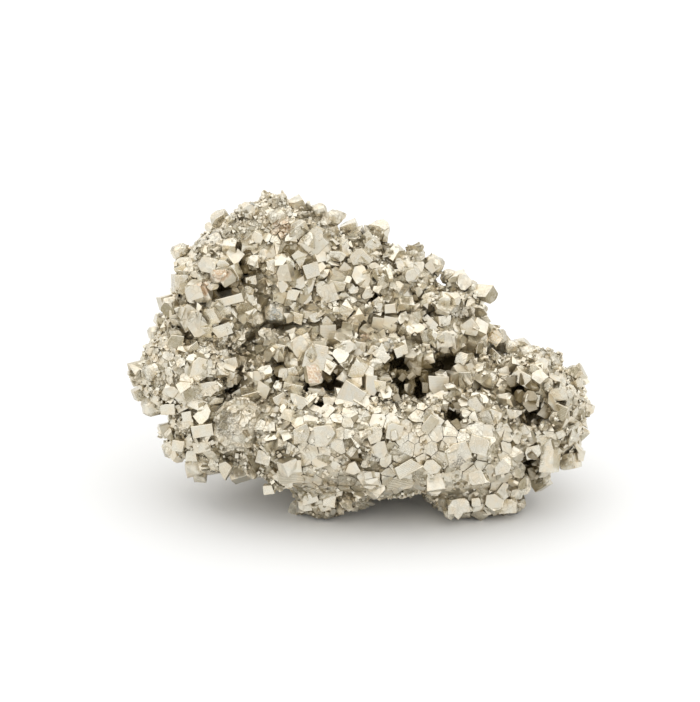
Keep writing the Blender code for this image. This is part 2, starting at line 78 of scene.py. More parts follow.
# The large crystals of the showing side, zone by zone. Across and up are places in the sight plane,
# wide and high the size of the face that shows, all in millimetres. Yaw, tilt and roll are its turn
# in degrees, and the habit says how far its corners are cut.
BLOCK, CLIPPED, ROUNDED, BALL = 0, 2, 4, 8
Crystal = namedtuple("Crystal", "across up wide high yaw tilt roll habit")
CRYSTALS = (
    # Peak.
    (-7.9, 24.1, 4.9, 4.9, 12, 10, 46, BLOCK), (-11.6, 26.4, 4.2, 3.6, -15, 25, 25, CLIPPED),
    (-21.2, 19.8, 3.2, 2.7, 25, 15, 10, BLOCK), (-26.3, 23.0, 3.2, 2.6, 10, 40, 0, CLIPPED),
    (-22.6, 22.8, 3.0, 2.2, -20, 30, -15, BLOCK), (-27.0, 25.8, 2.8, 2.4, -10, 20, 15, CLIPPED),
    (-19.9, 25.2, 2.6, 2.4, 15, 25, -20, BLOCK), (-16.0, 29.4, 3.8, 3.2, -20, 30, 20, ROUNDED),
    (-22.6, 30.6, 4.0, 3.0, 25, 25, 30, ROUNDED), (-10.6, 31.0, 4.2, 3.2, -25, 30, -15, ROUNDED),
    (-4.4, 27.6, 4.6, 4.2, -10, 20, 10, ROUNDED), (-28.6, 29.0, 3.4, 2.8, 20, 30, 30, CLIPPED),
    # Left block.
    (-31.0, 19.0, 3.9, 3.4, 10, 5, -12, CLIPPED), (-27.9, 19.3, 2.7, 1.9, -10, 20, -5, BLOCK),
    (-28.2, 16.6, 4.8, 3.4, 15, 20, 5, ROUNDED), (-25.2, 17.2, 1.9, 3.6, 30, 5, 25, BLOCK),
    (-36.9, 14.9, 4.2, 4.4, -15, 10, 5, CLIPPED), (-32.3, 13.6, 5.0, 4.0, 25, 25, 10, CLIPPED),
    (-26.2, 12.0, 6.2, 1.9, 10, 25, 19, BLOCK), (-37.7, 8.9, 4.2, 2.5, -10, 20, -3, BLOCK),
    (-34.6, 7.6, 4.3, 5.0, 5, 5, -4, CLIPPED), (-30.3, 8.6, 4.8, 4.2, 38, 15, 28, BLOCK),
    (-41.9, 6.8, 3.2, 2.4, -20, 25, -22, CLIPPED), (-31.4, 4.7, 2.4, 2.6, 15, 33, 0, BLOCK),
    (-27.9, 4.9, 4.8, 2.6, 15, 10, 20, BLOCK), (-38.3, 22.2, 3.6, 3.2, -20, 15, 20, ROUNDED),
    (-36.6, 18.6, 3.4, 2.8, 20, 30, 10, CLIPPED),
    # Crown.
    (6.3, 26.8, 4.2, 3.6, 15, 30, -28, CLIPPED), (4.7, 23.7, 3.9, 3.2, -10, 15, 12, CLIPPED),
    (2.3, 20.4, 3.9, 4.0, 10, 5, 40, CLIPPED), (-3.0, 21.2, 3.6, 2.3, -10, 20, -12, CLIPPED),
    (1.7, 25.4, 3.2, 3.0, 20, 20, 25, CLIPPED), (-9.0, 17.7, 3.5, 3.2, -20, 10, 15, BLOCK),
    (-10.7, 15.2, 2.8, 3.0, 10, 5, -20, CLIPPED), (-12.7, 12.7, 2.9, 2.4, -15, 15, -12, BLOCK),
    (-2.6, 14.9, 3.6, 2.5, 5, 33, -8, BLOCK), (3.5, 15.7, 3.2, 3.0, 20, 15, 25, CLIPPED),
    (6.9, 15.6, 2.6, 3.3, -25, 15, -10, CLIPPED), (8.4, 17.2, 2.9, 2.3, 15, 36, -35, BLOCK),
    (12.1, 20.3, 4.6, 4.0, 15, 15, -10, ROUNDED), (8.9, 21.2, 3.8, 3.4, -15, 20, 20, ROUNDED),
    (14.8, 22.0, 3.2, 3.6, 20, 20, 30, ROUNDED), (-5.6, 17.0, 2.6, 2.4, 20, 10, 0, CLIPPED),
    (-17.0, 19.0, 3.4, 3.2, -15, 20, 10, CLIPPED), (-16.5, 8.6, 4.8, 4.6, -10, 15, 0, ROUNDED),
    # Shoulder.
    (19.2, 19.4, 4.2, 3.4, 15, 25, -20, ROUNDED), (13.2, 16.8, 2.9, 2.6, -15, 15, 10, CLIPPED),
    (12.0, 10.2, 3.5, 3.3, -10, 38, -12, BLOCK), (9.0, 9.6, 2.5, 2.1, 10, 15, 5, BLOCK),
    (14.7, 7.4, 2.7, 3.2, 20, 10, 10, CLIPPED), (12.5, 4.6, 3.0, 2.7, -5, 34, -30, BLOCK),
    (24.8, 9.4, 5.8, 6.4, 20, 15, 15, ROUNDED), (21.0, 11.4, 2.5, 2.3, 5, 34, -10, BLOCK),
    (26.6, 5.2, 3.7, 3.9, 15, 5, 38, CLIPPED), (30.0, 4.7, 3.4, 3.2, 25, 5, -25, BLOCK),
    (34.4, 3.4, 2.8, 3.4, 30, 10, 10, ROUNDED), (19.8, 2.5, 4.2, 3.8, -20, 15, 20, CLIPPED),
    (22.7, 2.1, 2.3, 4.0, 25, 5, 10, BLOCK), (27.2, 1.2, 3.6, 2.5, 35, 15, -10, BLOCK),
    (28.6, 12.8, 3.8, 3.6, 25, 20, -20, ROUNDED), (23.6, 15.6, 3.6, 3.2, 10, 25, 15, CLIPPED),
    # Middle.
    (0.3, 5.7, 3.7, 2.7, 5, 30, -10, BLOCK), (7.5, 6.2, 5.4, 3.8, 0, 20, -4, CLIPPED),
    (-11.4, 7.8, 3.4, 2.7, 15, 28, -10, BLOCK), (-11.5, 0.9, 3.8, 3.9, -15, 5, 35, CLIPPED),
    (-7.2, -1.4, 4.6, 5.2, 10, 0, -13, BLOCK), (-4.4, -3.4, 3.2, 2.6, 20, 10, -30, BLOCK),
    (-5.0, 4.2, 3.4, 3.2, -5, 5, 2, BLOCK), (-1.7, 0.3, 3.9, 3.8, 15, 15, 20, ROUNDED),
    (1.7, 0.8, 2.9, 3.2, -15, 10, -15, CLIPPED), (5.8, 0.1, 3.5, 3.0, 10, 12, 15, CLIPPED),
    (5.5, -2.8, 3.4, 3.2, -20, 20, -10, ROUNDED), (8.6, 1.2, 2.9, 3.3, 30, -10, 10, CLIPPED),
    (10.9, 0.2, 2.9, 2.4, -10, 20, 20, BLOCK), (16.9, 1.0, 1.9, 1.8, 15, 20, 5, BLOCK),
    (-7.3, -5.6, 3.3, 2.8, 20, 12, 20, CLIPPED), (-13.4, -4.9, 3.6, 3.2, -15, 15, 5, CLIPPED),
    (-12.1, -7.8, 4.2, 2.7, 15, 25, -8, BLOCK), (1.9, -4.4, 3.3, 3.0, 10, 20, -20, CLIPPED),
    (-15.6, -0.2, 4.0, 3.4, 25, 5, -5, BLOCK), (-19.5, 3.8, 3.4, 2.6, -15, 25, 8, CLIPPED),
    (-20.6, 7.0, 3.4, 3.2, 15, 10, 15, ROUNDED), (-25.8, -2.4, 2.8, 2.6, 15, 15, 15, CLIPPED),
    (-19.0, -5.2, 3.7, 2.3, 10, 20, -3, BLOCK), (-18.4, -8.2, 3.5, 2.8, 25, 25, -22, BLOCK),
    # Left lobe.
    (-38.3, 2.2, 3.6, 4.3, 5, 20, -10, CLIPPED), (-34.8, 0.8, 2.6, 2.1, -20, 30, 25, BLOCK),
    (-31.2, -3.7, 2.6, 3.6, 10, 5, 5, CLIPPED), (-33.8, -3.0, 3.0, 4.6, -25, 15, -15, BLOCK),
    (-35.2, -7.8, 4.6, 2.6, 10, -28, 25, BLOCK), (-30.4, -8.0, 5.2, 3.4, 5, 10, 10, CLIPPED),
    (-29.5, -10.7, 3.4, 1.9, -5, 15, -8, BLOCK), (-21.6, -9.7, 4.4, 3.0, -5, 28, 12, CLIPPED),
    (-43.6, -4.6, 3.8, 3.4, -20, 15, 20, ROUNDED), (-39.4, -8.6, 3.2, 2.4, -10, 15, -20, CLIPPED),
    (-44.0, 0.6, 3.2, 3.0, -25, 20, -15, ROUNDED),
    # Left low.
    (-39.7, -12.5, 3.0, 2.5, 10, 15, 2, BLOCK), (-33.9, -12.0, 4.0, 2.4, -10, -20, -20, BLOCK),
    (-31.5, -14.1, 4.0, 2.9, 15, -22, 38, BLOCK), (-32.2, -16.9, 4.8, 2.9, 5, 20, 8, BLOCK),
    (-35.4, -14.2, 2.3, 2.4, 25, 10, 10, BLOCK), (-37.3, -20.5, 3.0, 2.5, 15, 20, -5, BLOCK),
    (-40.4, -17.4, 3.2, 3.0, -20, 5, 15, CLIPPED), (-32.2, -20.9, 3.7, 2.4, 10, 10, 5, BLOCK),
    (-34.5, -22.9, 2.6, 2.3, 15, 10, 0, BLOCK), (-40.1, -22.0, 3.6, 3.4, -15, -15, 20, ROUNDED),
    (-31.4, -25.2, 4.8, 3.6, 5, -15, 5, CLIPPED), (-24.2, -27.1, 4.2, 2.9, 15, -20, 12, CLIPPED),
    (-17.8, -30.3, 2.3, 2.0, 15, 10, 10, BLOCK),
    # Cleft.
    (-10.5, -11.0, 2.8, 3.0, 15, -5, 40, BLOCK), (-15.8, -10.8, 2.6, 2.5, -20, 10, 22, BLOCK),
    (-4.6, -10.9, 2.5, 2.4, 10, 15, -15, CLIPPED), (0.5, -9.5, 5.0, 4.4, 5, 10, -32, BLOCK),
    (4.3, -7.4, 2.5, 4.4, -15, 5, -4, BLOCK), (7.1, -7.5, 2.7, 2.5, 25, 15, -5, BLOCK),
    (19.0, -7.2, 4.4, 3.8, -12, 8, -4, BLOCK), (22.5, -7.0, 2.1, 3.6, 30, 5, 0, BLOCK),
    (17.4, -1.6, 2.4, 1.9, 15, 20, 20, BLOCK), (24.9, -1.6, 2.5, 3.0, 25, 10, -15, BLOCK),
    # Right lobe.
    (25.6, -6.8, 2.8, 4.6, 10, 5, 6, CLIPPED), (30.5, -6.8, 5.2, 4.6, 10, 15, -10, ROUNDED),
    (31.8, -1.6, 3.2, 3.4, 20, 15, -35, CLIPPED), (38.3, -5.6, 4.5, 2.9, 10, 22, -27, BLOCK),
    (41.5, -4.0, 2.8, 3.2, 25, 15, 10, CLIPPED), (39.6, -10.6, 3.5, 2.6, -15, 5, -8, BLOCK),
    (45.8, -9.0, 4.0, 2.8, 10, 20, 10, CLIPPED), (46.2, -13.0, 3.9, 3.4, 15, 15, -20, BLOCK),
    (27.6, -11.6, 3.2, 3.2, 5, 10, 20, CLIPPED), (31.7, -14.6, 3.5, 3.6, 15, 10, -20, CLIPPED),
    (38.4, -18.0, 3.6, 4.2, 20, 10, -10, CLIPPED), (40.2, -21.8, 3.6, 2.8, 5, 15, 15, CLIPPED),
    (44.2, -23.0, 2.8, 7.4, 25, 0, -7, BLOCK), (49.0, -18.4, 4.8, 5.6, 30, 5, 5, ROUNDED),
    (48.4, -24.2, 3.8, 3.4, 35, 0, 10, CLIPPED), (44.6, -1.8, 3.4, 3.0, 25, 25, -10, ROUNDED),
    (38.8, -0.6, 3.6, 3.0, -10, 30, 10, ROUNDED), (42.0, -29.0, 3.6, 2.8, 30, -10, 30, BLOCK),
    # Front wall.
    (-24.0, -16.0, 8.6, 8.6, -10, 5, 10, BALL), (-5.4, -18.2, 4.7, 4.3, 5, 10, 5, CLIPPED),
    (-11.3, -18.2, 4.4, 3.3, -10, 12, 22, CLIPPED), (-13.2, -27.6, 5.4, 2.8, -5, 0, 3, BLOCK),
    (-12.6, -24.9, 4.2, 2.6, 10, 15, 5, BLOCK), (5.6, -18.0, 3.4, 3.5, 10, 10, 20, CLIPPED),
    (9.5, -17.5, 3.6, 3.5, -10, 8, -15, CLIPPED), (6.5, -21.6, 3.0, 3.4, 5, 5, 15, CLIPPED),
    (0.6, -25.6, 2.8, 2.6, 15, 8, 30, CLIPPED), (4.2, -28.3, 4.8, 3.7, 5, 0, -8, CLIPPED),
    (12.6, -25.4, 5.8, 2.8, -5, 8, 28, BLOCK), (10.9, -28.5, 6.0, 2.7, 5, -2, 10, BLOCK),
    (18.4, -25.5, 3.3, 2.8, 15, 10, -38, BLOCK), (17.3, -15.8, 4.2, 2.3, 10, 10, 52, BLOCK),
    (18.8, -29.0, 4.0, 3.8, 0, -14, 5, CLIPPED), (23.4, -22.4, 5.0, 4.8, -5, 8, 15, CLIPPED),
    (28.6, -20.4, 4.2, 3.8, 10, 10, -15, CLIPPED), (34.1, -24.9, 3.8, 3.8, 20, 0, 10, CLIPPED),
    (-18.6, -23.5, 3.0, 2.8, 15, 5, -15, BLOCK), (-15.2, -17.8, 2.5, 2.4, -5, 34, 2, BLOCK),
    (1.8, -31.0, 4.0, 2.4, 10, -5, -48, BLOCK), (28.4, -27.6, 4.2, 3.4, 5, -5, 10, CLIPPED),
    (37.4, -28.4, 4.4, 3.0, 20, -5, -5, ROUNDED),
    # Feet.
    (-8.6, -32.0, 3.6, 2.5, 10, 5, 15, BLOCK), (-10.2, -34.0, 3.0, 2.6, -15, 0, 5, CLIPPED),
    (-4.2, -32.8, 2.8, 2.8, 15, 5, -10, BLOCK), (31.6, -32.8, 3.8, 3.3, 5, 5, 8, CLIPPED),
    (27.8, -33.0, 2.0, 2.0, 10, 10, 5, BLOCK), (23.4, -34.0, 5.0, 3.4, -10, 0, 8, CLIPPED),
    (35.0, -34.0, 4.0, 3.2, 15, 0, 5, CLIPPED),
)
# These fill the outline, in the looks alone.
EDGE_FILL = (
    (-43.4, -12.2, 4.4, 4.0, -20, 10, 10, ROUNDED), (-46.0, -9.4, 3.6, 3.2, -15, 15, 25, CLIPPED),
    (-41.6, 11.5, 3.2, 3.0, -20, 10, 15, CLIPPED), (-44.6, 5.6, 3.4, 3.0, -20, 15, 10, ROUNDED),
    (-7.0, 30.8, 3.6, 3.0, -10, 20, 15, ROUNDED), (-3.4, 29.4, 3.4, 3.0, 15, 20, -10, ROUNDED),
    (-0.4, 28.0, 3.6, 3.2, 10, 20, 20, CLIPPED), (35.4, 1.2, 3.6, 3.2, 20, 15, 10, ROUNDED),
    (21.6, 17.0, 3.4, 3.2, 15, 20, -15, ROUNDED), (26.0, 14.2, 3.2, 3.0, 20, 20, 15, ROUNDED),
)
# The smallest crystal that is in the solid, in millimetres.
SMALLEST_SOLID_CRYSTAL = 2.85

# The listed crystals: the seed of their cuts, how deep a corner is cut off and how far a small one
# stands out, both as shares of its size, how far one on the outline is sunk, how much others grow
# over its edges, and the bare rim round it.
CORNER_SEED = 11
CORNER_DEPTH = (0.12, 0.34)
STANDING_OUT = 0.36
SETTLED = 0.32
OVERGROWN = 0.45 * MM
BARE_MARGIN = 0.12 * MM
# The crust and the slanting cuts of each habit, the bevel that rounds a rounded one, the seed of the
# waves on the faces, their height on flat faces and on lumps, and from which length against width
# the growth lines run all along a crystal.
CRUST_OF_HABIT = {BLOCK: 0.12, CLIPPED: 0.3, ROUNDED: 0.8, BALL: 1.0}
SLANTS_OF_HABIT = {BLOCK: (0, 1, 1, 2, 2), CLIPPED: (1, 2, 2, 3, 3)}
ROUNDING = 0.24
WAVE_SEED = 7
EVEN_WAVES, LUMPY_WAVES = 0.07 * MM, 0.2 * MM
ELONGATED = 1.9
SMOOTH_ANGLE = math.radians(24.0)
# The ball, how far it stands proud, the bare ring round it, and its flat plates: how many to a
# millimetre, how far they lean, and how far they stand out in millimetres.
BALL_RADIUS, BALL_PROUD, BALL_RING = 5.7 * MM, 2.0 * MM, 1.3 * MM
PLATES_PER_MM, PLATE_LEAN, PLATE_STEP = 0.62, 0.26, 0.5

# How the mosaic's crystals lie. Each lie has how far its seats are levelled with those around them,
# its tilt in degrees, and its crystals' sides and how proud they stand, against their spacing. Cubes
# overlap by a share of it. Then come how many corners are cut off, how often, and how many slants.
FLAT, CUBES, FINE = "flat", "cubes", "fine"
LEVELLING = {FLAT: 0.8, FINE: 0.6, CUBES: 0.3}
TILT_OF_LIE = {FLAT: 5.0, FINE: 15.0, CUBES: 26.0}
SIDES_OF_LIE = {FLAT: (1.6, 2.2), FINE: (1.3, 1.9), CUBES: (1.15, 1.8)}
PROUD_OF_LIE = {FLAT: (0.0, 0.09), FINE: (0.0, 0.18), CUBES: (0.05, 0.38)}
CUBES_OVERLAP = (0.08, 0.4)
CORNERS_CUT, CORNERS_WEIGHTS = (0, 1, 2, 4, 8), (16, 16, 24, 24, 20)
SLANTS_CUT = (0, 1, 2, 2, 3)
TRIES_PER_SQUARE_MM = 4.0
LEVEL_REACH = 4.5 * MM
GRID_CELL = 4.0 * MM
BEHIND = 0.6
OUTWARD = Vector((0.0, 0.0, 1.0))
# The rim is where the solid turns away from the viewpoint, between these cosines.
RIM_AWAY, RIM_TOWARDS = 0.45, 0.2
# Tarnish is looked for this far round a crystal's middle, past its own faces.
STAIN_MARGIN = 6.0 * MM

# The brightness of faces: mean, spread, how much darker the dark ones are, how many those are, and
# how much brighter one is that faces up: a painted sheen of the light from above.
FACE_BRIGHT, FACE_SPREAD = 0.31, 0.08
DARK_FACE, DARK_SHARE = 0.55, 0.11
UPWARD_SHEEN = 0.08
# The matrix lies inside the solid, deeper in the hollows, with no long edges. The least painted
# shade and dirt on it goes by the lie of what grows there, and below 0 even its crevices are partly
# clear of the painted shade.
MATRIX_SUNK, HOLLOW_SUNK = 0.5 * MM, 0.7 * MM
LONGEST_EDGE = 1.8 * MM
LEAST_DIRT_AND_SHADE = {CUBES: 0.3, FLAT: 0.1, FINE: -0.45}

# The room's brightness near the floor and overhead, and between which heights it changes.
ROOM_LOW, ROOM_HIGH = 0.9, 1.22
ROOM_FROM, ROOM_TO = 0.15, 0.75
# The studio's soft boxes: name, place, size and power.
LAMPS = (
    ("top box", (0.0, 0.0, 0.8), (1.5, 1.2), 2.4),
    ("left box", (-0.9, -0.5, 0.45), (0.6, 0.6), 0.7),
    ("right box", (0.9, -0.3, 0.4), (0.5, 0.6), 0.5),
    ("rear box", (0.1, 1.0, 0.5), (1.0, 0.7), 1.0),
)

# Patches of the showing side: the middle and half sizes of each in the sight plane, the spacing of
# its crystals in millimetres, how they lie, and how bright, how crusted and how grainy they are,
# each from 0 to 1.
Patch = namedtuple("Patch", "across up half_wide half_high spacing lie bright crust grain")
PATCHES = [
    Patch(*row)
    for row in (
        (-24.7, -16.5, 5.6, 5.2, 1.5, FINE, 0.66, 0.8, 0.3),
        (14.0, -12.0, 12.0, 2.2, 1.6, FINE, 0.64, 0.8, 0.5),
        (-14.0, -12.5, 13.0, 2.4, 1.9, CUBES, 0.64, 0.5, 0.3),
        (-20.0, 30.5, 13.0, 7.0, 1.9, FINE, 0.84, 1.0, 0.25),
        (-28.0, 1.0, 6.5, 2.6, 1.4, FINE, 0.66, 0.9, 0.6),
        (24.0, 14.5, 7.5, 6.5, 2.1, FINE, 0.64, 0.9, 0.3),
        (42.5, -1.5, 8.0, 3.4, 1.8, FINE, 0.64, 0.9, 0.3),
        (-43.5, -3.0, 6.0, 7.5, 1.5, FINE, 0.66, 0.9, 0.4),
        (4.0, 28.0, 12.0, 4.0, 1.9, FINE, 0.64, 0.9, 0.3),
        (-30.0, -25.0, 17.0, 6.5, 2.5, CUBES, 0.40, 0.5, 0.3),
        (-38.0, -18.0, 8.0, 8.0, 2.2, CUBES, 0.55, 0.5, 0.5),
        (47.5, -19.0, 6.5, 9.0, 2.6, FLAT, 0.66, 0.6, 0.15),
        (8.0, -23.5, 33.0, 11.5, 2.35, FLAT, 0.68, 0.65, 0.15),
        (-6.0, 8.0, 30.0, 17.0, 2.0, CUBES, 0.66, 0.35, 0.15),
        (24.0, -3.0, 24.0, 9.0, 2.0, CUBES, 0.66, 0.35, 0.15),
    )
]
RIM = Patch(0.0, 0.0, 0.0, 0.0, 1.8, FINE, 0.64, 0.8, 0.3)
ELSEWHERE = Patch(0.0, 0.0, 0.0, 0.0, 2.4, CUBES, 0.60, 0.6, 0.2)

# Hollows of the showing side, painted dark as shade and old dirt: middle and half sizes in the sight
# plane, and turn.
Hollow = namedtuple("Hollow", "across up half_wide half_high turn")
HOLLOWS = [
    Hollow(*row)
    for row in (
        (11.3, -2.5, 4.0, 3.0, 0.0), (21.2, -2.6, 6.8, 3.0, 14.0), (11.0, -7.2, 2.8, 3.2, 0.0),
        (15.4, -7.8, 2.8, 3.2, 0.0), (23.2, -14.0, 2.6, 3.6, -15.0), (37.8, -8.7, 4.4, 2.5, 8.0),
        (40.3, -13.5, 3.5, 3.5, 20.0), (34.8, -4.3, 2.2, 1.0, 0.0), (-3.6, -6.8, 3.0, 2.4, 0.0),
        (-9.2, -7.4, 1.3, 1.8, 0.0), (-6.9, -11.4, 2.0, 1.3, 0.0), (-15.8, -4.6, 1.1, 2.8, -8.0),
        (-27.6, 13.9, 3.4, 2.6, 10.0), (-23.8, 17.6, 1.8, 3.8, 0.0), (-37.6, 6.0, 2.2, 1.2, 0.0),
        (-26.4, -8.2, 2.2, 1.0, 8.0), (-20.2, 18.2, 1.1, 1.0, 0.0), (-13.4, 21.6, 1.7, 1.2, 0.0),
        (-10.9, 19.2, 1.1, 1.1, 0.0), (17.2, 8.6, 1.7, 1.3, 20.0), (5.6, 11.4, 1.3, 1.1, 0.0),
        (14.9, 11.5, 1.2, 1.0, 0.0), (-25.4, 9.6, 1.5, 0.9, 0.0), (35.4, -20.4, 2.0, 0.9, 10.0),
        (39.8, -24.5, 1.9, 1.2, 15.0), (44.5, -18.0, 1.2, 0.9, 0.0), (0.9, -23.5, 1.4, 0.8, 0.0),
        (0.6, -14.4, 1.3, 0.9, 0.0),
    )
]

# Coloured tarnish on the showing side: its middle in the sight plane, its reach in millimetres, its
# colour and how strongly it covers.
RUST, OCHRE, BLUE, SLATE = "#B5855A", "#C9A35E", "#76868F", "#4C5358"
VERDIGRIS, GREY = "#78AE9E", "#66625B"
Stain = namedtuple("Stain", "across up reach colour amount")
STAINS = [
    Stain(*row)
    for row in (
        (-28.5, 16.7, 2.2, RUST, 0.5), (-32.5, 13.7, 2.0, RUST, 0.5),
        (-15.0, 27.0, 2.6, RUST, 0.4), (-7.2, -5.3, 1.3, RUST, 0.6),
        (3.2, 3.4, 1.2, RUST, 0.5), (32.1, 3.5, 1.5, OCHRE, 0.35),
        (-16.3, 7.6, 2.3, BLUE, 0.6), (-21.0, 32.8, 1.6, BLUE, 0.5),
        (32.7, -11.0, 1.2, BLUE, 0.6), (36.7, -14.7, 1.2, BLUE, 0.5),
        (-41.0, -22.8, 1.6, BLUE, 0.4), (8.7, 1.2, 1.5, SLATE, 0.7),
        (29.2, -6.9, 0.9, VERDIGRIS, 0.8), (-21.0, 21.5, 0.6, VERDIGRIS, 0.6),
        (25.0, 9.5, 2.6, GREY, 0.5), (24.0, -25.0, 2.0, GREY, 0.7),
        (5.5, -23.7, 1.5, GREY, 0.6), (-30.6, 25.0, 2.8, GREY, 0.5),
        (-26.8, -16.4, 3.6, GREY, 0.55),
    )
]


def linear(hex_colour):
    """A hex sRGB colour as linear red, green, blue and alpha."""
    values = [int(hex_colour[i : i + 2], 16) / 255 for i in (1, 3, 5)]
    return [v / 12.92 if v <= 0.04045 else ((v + 0.055) / 1.055) ** 2.4 for v in values] + [1.0]


# --- sight plane ---


def sight_ray(across, up):
    """The direction from the viewpoint to a place of the sight plane in millimetres."""
    return (SIGHT_TARGET + (RIGHT * across + UPWARD * up) * MM - EYE).normalized()


def in_sight_plane(point):
    """Where a point is seen in the sight plane, across and up in millimetres."""
    offset = point - EYE
    scale = SIGHT_DISTANCE / offset.dot(AWAY) / MM
    return offset.dot(RIGHT) * scale, offset.dot(UPWARD) * scale


def turned_away(point, normal):
    """How far a place is turned from the viewpoint, from -1 towards it to 1 away from it."""
    return (point - EYE).normalized().dot(normal)


def sight_turn(yaw, tilt, roll):
    """Turns a crystal as it is seen: yaw shows its right face, tilt its top, roll is anticlockwise."""
    return (
        Matrix((RIGHT, AWAY, UPWARD)).transposed()
        @ Matrix.Rotation(math.radians(-roll), 3, "Y")
        @ Matrix.Rotation(math.radians(tilt), 3, "X")
        @ Matrix.Rotation(math.radians(-yaw), 3, "Z")
    )


# --- crystals ---


def solid_copy():
    """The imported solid's mesh with its loose triangles joined up."""
    bm = bmesh.new()
    bm.from_mesh(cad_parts[NODE].data)
    bmesh.ops.remove_doubles(bm, verts=bm.verts, dist=1e-7)
    bm.normal_update()
    return bm


def refine(bm, passes):
    """Halves the edges that are longer than a small crystal, pass after pass."""
    for _ in range(passes):
        long_edges = [edge for edge in bm.edges if edge.calc_length() > LONGEST_EDGE]
        bmesh.ops.subdivide_edges(bm, edges=long_edges, cuts=1)
        bmesh.ops.triangulate(bm, faces=[face for face in bm.faces if len(face.verts) > 3])


def cut_plane(bm, point, normal):
    """Cuts away what lies beyond a plane, and closes the cut with a flat face."""
    cut = bmesh.ops.bisect_plane(
        bm,
        geom=bm.verts[:] + bm.edges[:] + bm.faces[:],
        plane_co=point,
        plane_no=normal,
        clear_outer=True,
    )
    rim = [item for item in cut["geom_cut"] if isinstance(item, bmesh.types.BMEdge)]
    if len(rim) > 2:
        bmesh.ops.contextual_create(bm, geom=rim)


def block(sides):
    bm = bmesh.new()
    bmesh.ops.create_cube(bm, size=1.0)
    bmesh.ops.scale(bm, verts=bm.verts, vec=sides)
    return bm


def cut_corners(bm, sides, corners, rule):
    """Takes as many of a block's corners off as asked, each by an octahedron's face."""
    octants = [Vector((x, y, z)) for x in (-1, 1) for y in (-1, 1) for z in (-1, 1)]
    for octant in rule.sample(octants, corners):
        corner = Vector(s * o / 2 for s, o in zip(sides, octant))
        normal = octant.normalized()
        depth = rule.uniform(*CORNER_DEPTH) * min(sides)
        cut_plane(bm, normal * (corner.dot(normal) - depth), normal)


def skew(bm, sides, amount, rule):
    """Moves a crystal's corners a little, because no face grows quite true."""
    for vert in bm.verts:
        vert.co += Vector(s * rule.uniform(-amount, amount) for s in sides)


def encrust(bm):
    """Covers a round crystal with small flat ones grown against each other."""
    for vert in bm.verts:
        middle = noise.voronoi(vert.co / MM * PLATES_PER_MM)[1][0]
        out = middle.normalized()
        facing = (out + noise.cell_vector(middle * 7.3) * PLATE_LEAN).normalized()
        height = BALL_RADIUS + PLATE_STEP * noise.cell(middle * 3.1) * MM
        ray = vert.co.normalized()
        vert.co = ray * height * out.dot(facing) / max(0.6, ray.dot(facing))


def wear(bm, edge, waves):
    """Rounds a crystal's edges and gives its faces the low waves of uneven growth."""
    bevel(bm, edge, clamp_overlap=True)
    refine(bm, 2)
    for vert in bm.verts:
        vert.co += noise.noise_vector(vert.co / MM * 0.9) * waves


def bevel(bm, width, **settings):
    bmesh.ops.bevel(bm, geom=bm.edges[:], offset=width, segments=1, affect="EDGES", **settings)


Finish = namedtuple("Finish", "bright crust dirt rough lined")
Seated = namedtuple("Seated", "kind centre turn sides shape slants perched")
Seat = namedtuple("Seat", "point normal space patch dirt")


class Heap:
    """Crystals gathered into one mesh, with the finish of each and its own axes as a map."""

    def __init__(self, seed, stains):
        self.rule = random.Random(seed)
        self.stains = stains
        self.points, self.faces, self.maps = [], [], []
        self.finishes, self.stained = [], []

    def add(self, bm, centre, turn, finish):
        """Adds a crystal that is built about its own middle, along its own axes."""
        bm.normal_update()
        start = len(self.points)
        for index, vert in enumerate(bm.verts):
            vert.index = index
            self.points.append(centre + turn @ vert.co)
        near = [s for s in self.stains if (s[0] - centre).length < s[1] + STAIN_MARGIN]
        facet_tone = {}
        for face in bm.faces:
            self.faces.append([start + vert.index for vert in face.verts])
            along = max(range(3), key=lambda axis: abs(face.normal[axis]))
            u, v = (along + 1) % 3, (along + 2) % 3
            self.maps.extend((vert.co[u] / MM, vert.co[v] / MM) for vert in face.verts)
            upward = (turn @ face.normal).z
            # The thin faces of a worn edge take the tone of the facet that they belong to.
            facet = tuple(round(c * 1.5) for c in face.normal)
            if facet not in facet_tone:
                dark = DARK_FACE * (self.rule.random() < DARK_SHARE)
                facet_tone[facet] = self.rule.gauss(FACE_BRIGHT, FACE_SPREAD) - dark
            # A face that looks up is painted brighter, as a sheen of the light from above.
            bright = finish.bright + facet_tone[facet] + UPWARD_SHEEN * upward
            self.finishes.append((bright, *finish[1:]))
            self.stained.append(stain_at(centre + turn @ face.calc_center_median(), near))
        bm.free()

    def build(self, name):
        mesh = bpy.data.meshes.new(name)
        mesh.from_pydata(self.points, [], self.faces)
        crystal_map = mesh.uv_layers.new(name="crystal_axes")
        crystal_map.data.foreach_set("uv", np.array(self.maps, np.float32).ravel())
        store_finishes(mesh, self.finishes, self.stained)
        return mesh


def store(mesh, name, values):
    """Stores a number, or a colour of four numbers, for each face of a mesh."""
    values = np.array(values, np.float32)
    kind, field = ("FLOAT", "value") if values.ndim == 1 else ("FLOAT_COLOR", "color")
    mesh.attributes.new(name, kind, "FACE").data.foreach_set(field, values.ravel())


def store_finishes(mesh, finishes, stained):
    for kind, values in zip(Finish._fields, zip(*finishes)):
        store(mesh, kind, values)
    store(mesh, "stain", stained)


def seated_stains(surface):
    """The coloured tarnish placed on the solid: middle, reach, linear colour and amount."""
    seated = []
    for stain in STAINS:
        ray = sight_ray(stain.across, stain.up)
        middle = surface.ray_cast(EYE, ray)[0] or nearest_along(surface, ray)
        seated.append((middle, stain.reach * MM, linear(stain.colour)[:3], stain.amount))
    return seated


def stain_at(point, stains):
    """The tarnish colour of a place, with how strongly it covers as its fourth number."""
    for middle, reach, colour, amount in stains:
        ragged = 1.0 + 0.5 * noise.noise(point / MM * 0.8)
        depth = 1.0 - (point - middle).length / (reach * ragged)
        if depth > 0.0:
            return (*colour, amount * min(1.0, 3.0 * depth))
    return (0.0, 0.0, 0.0, 0.0)


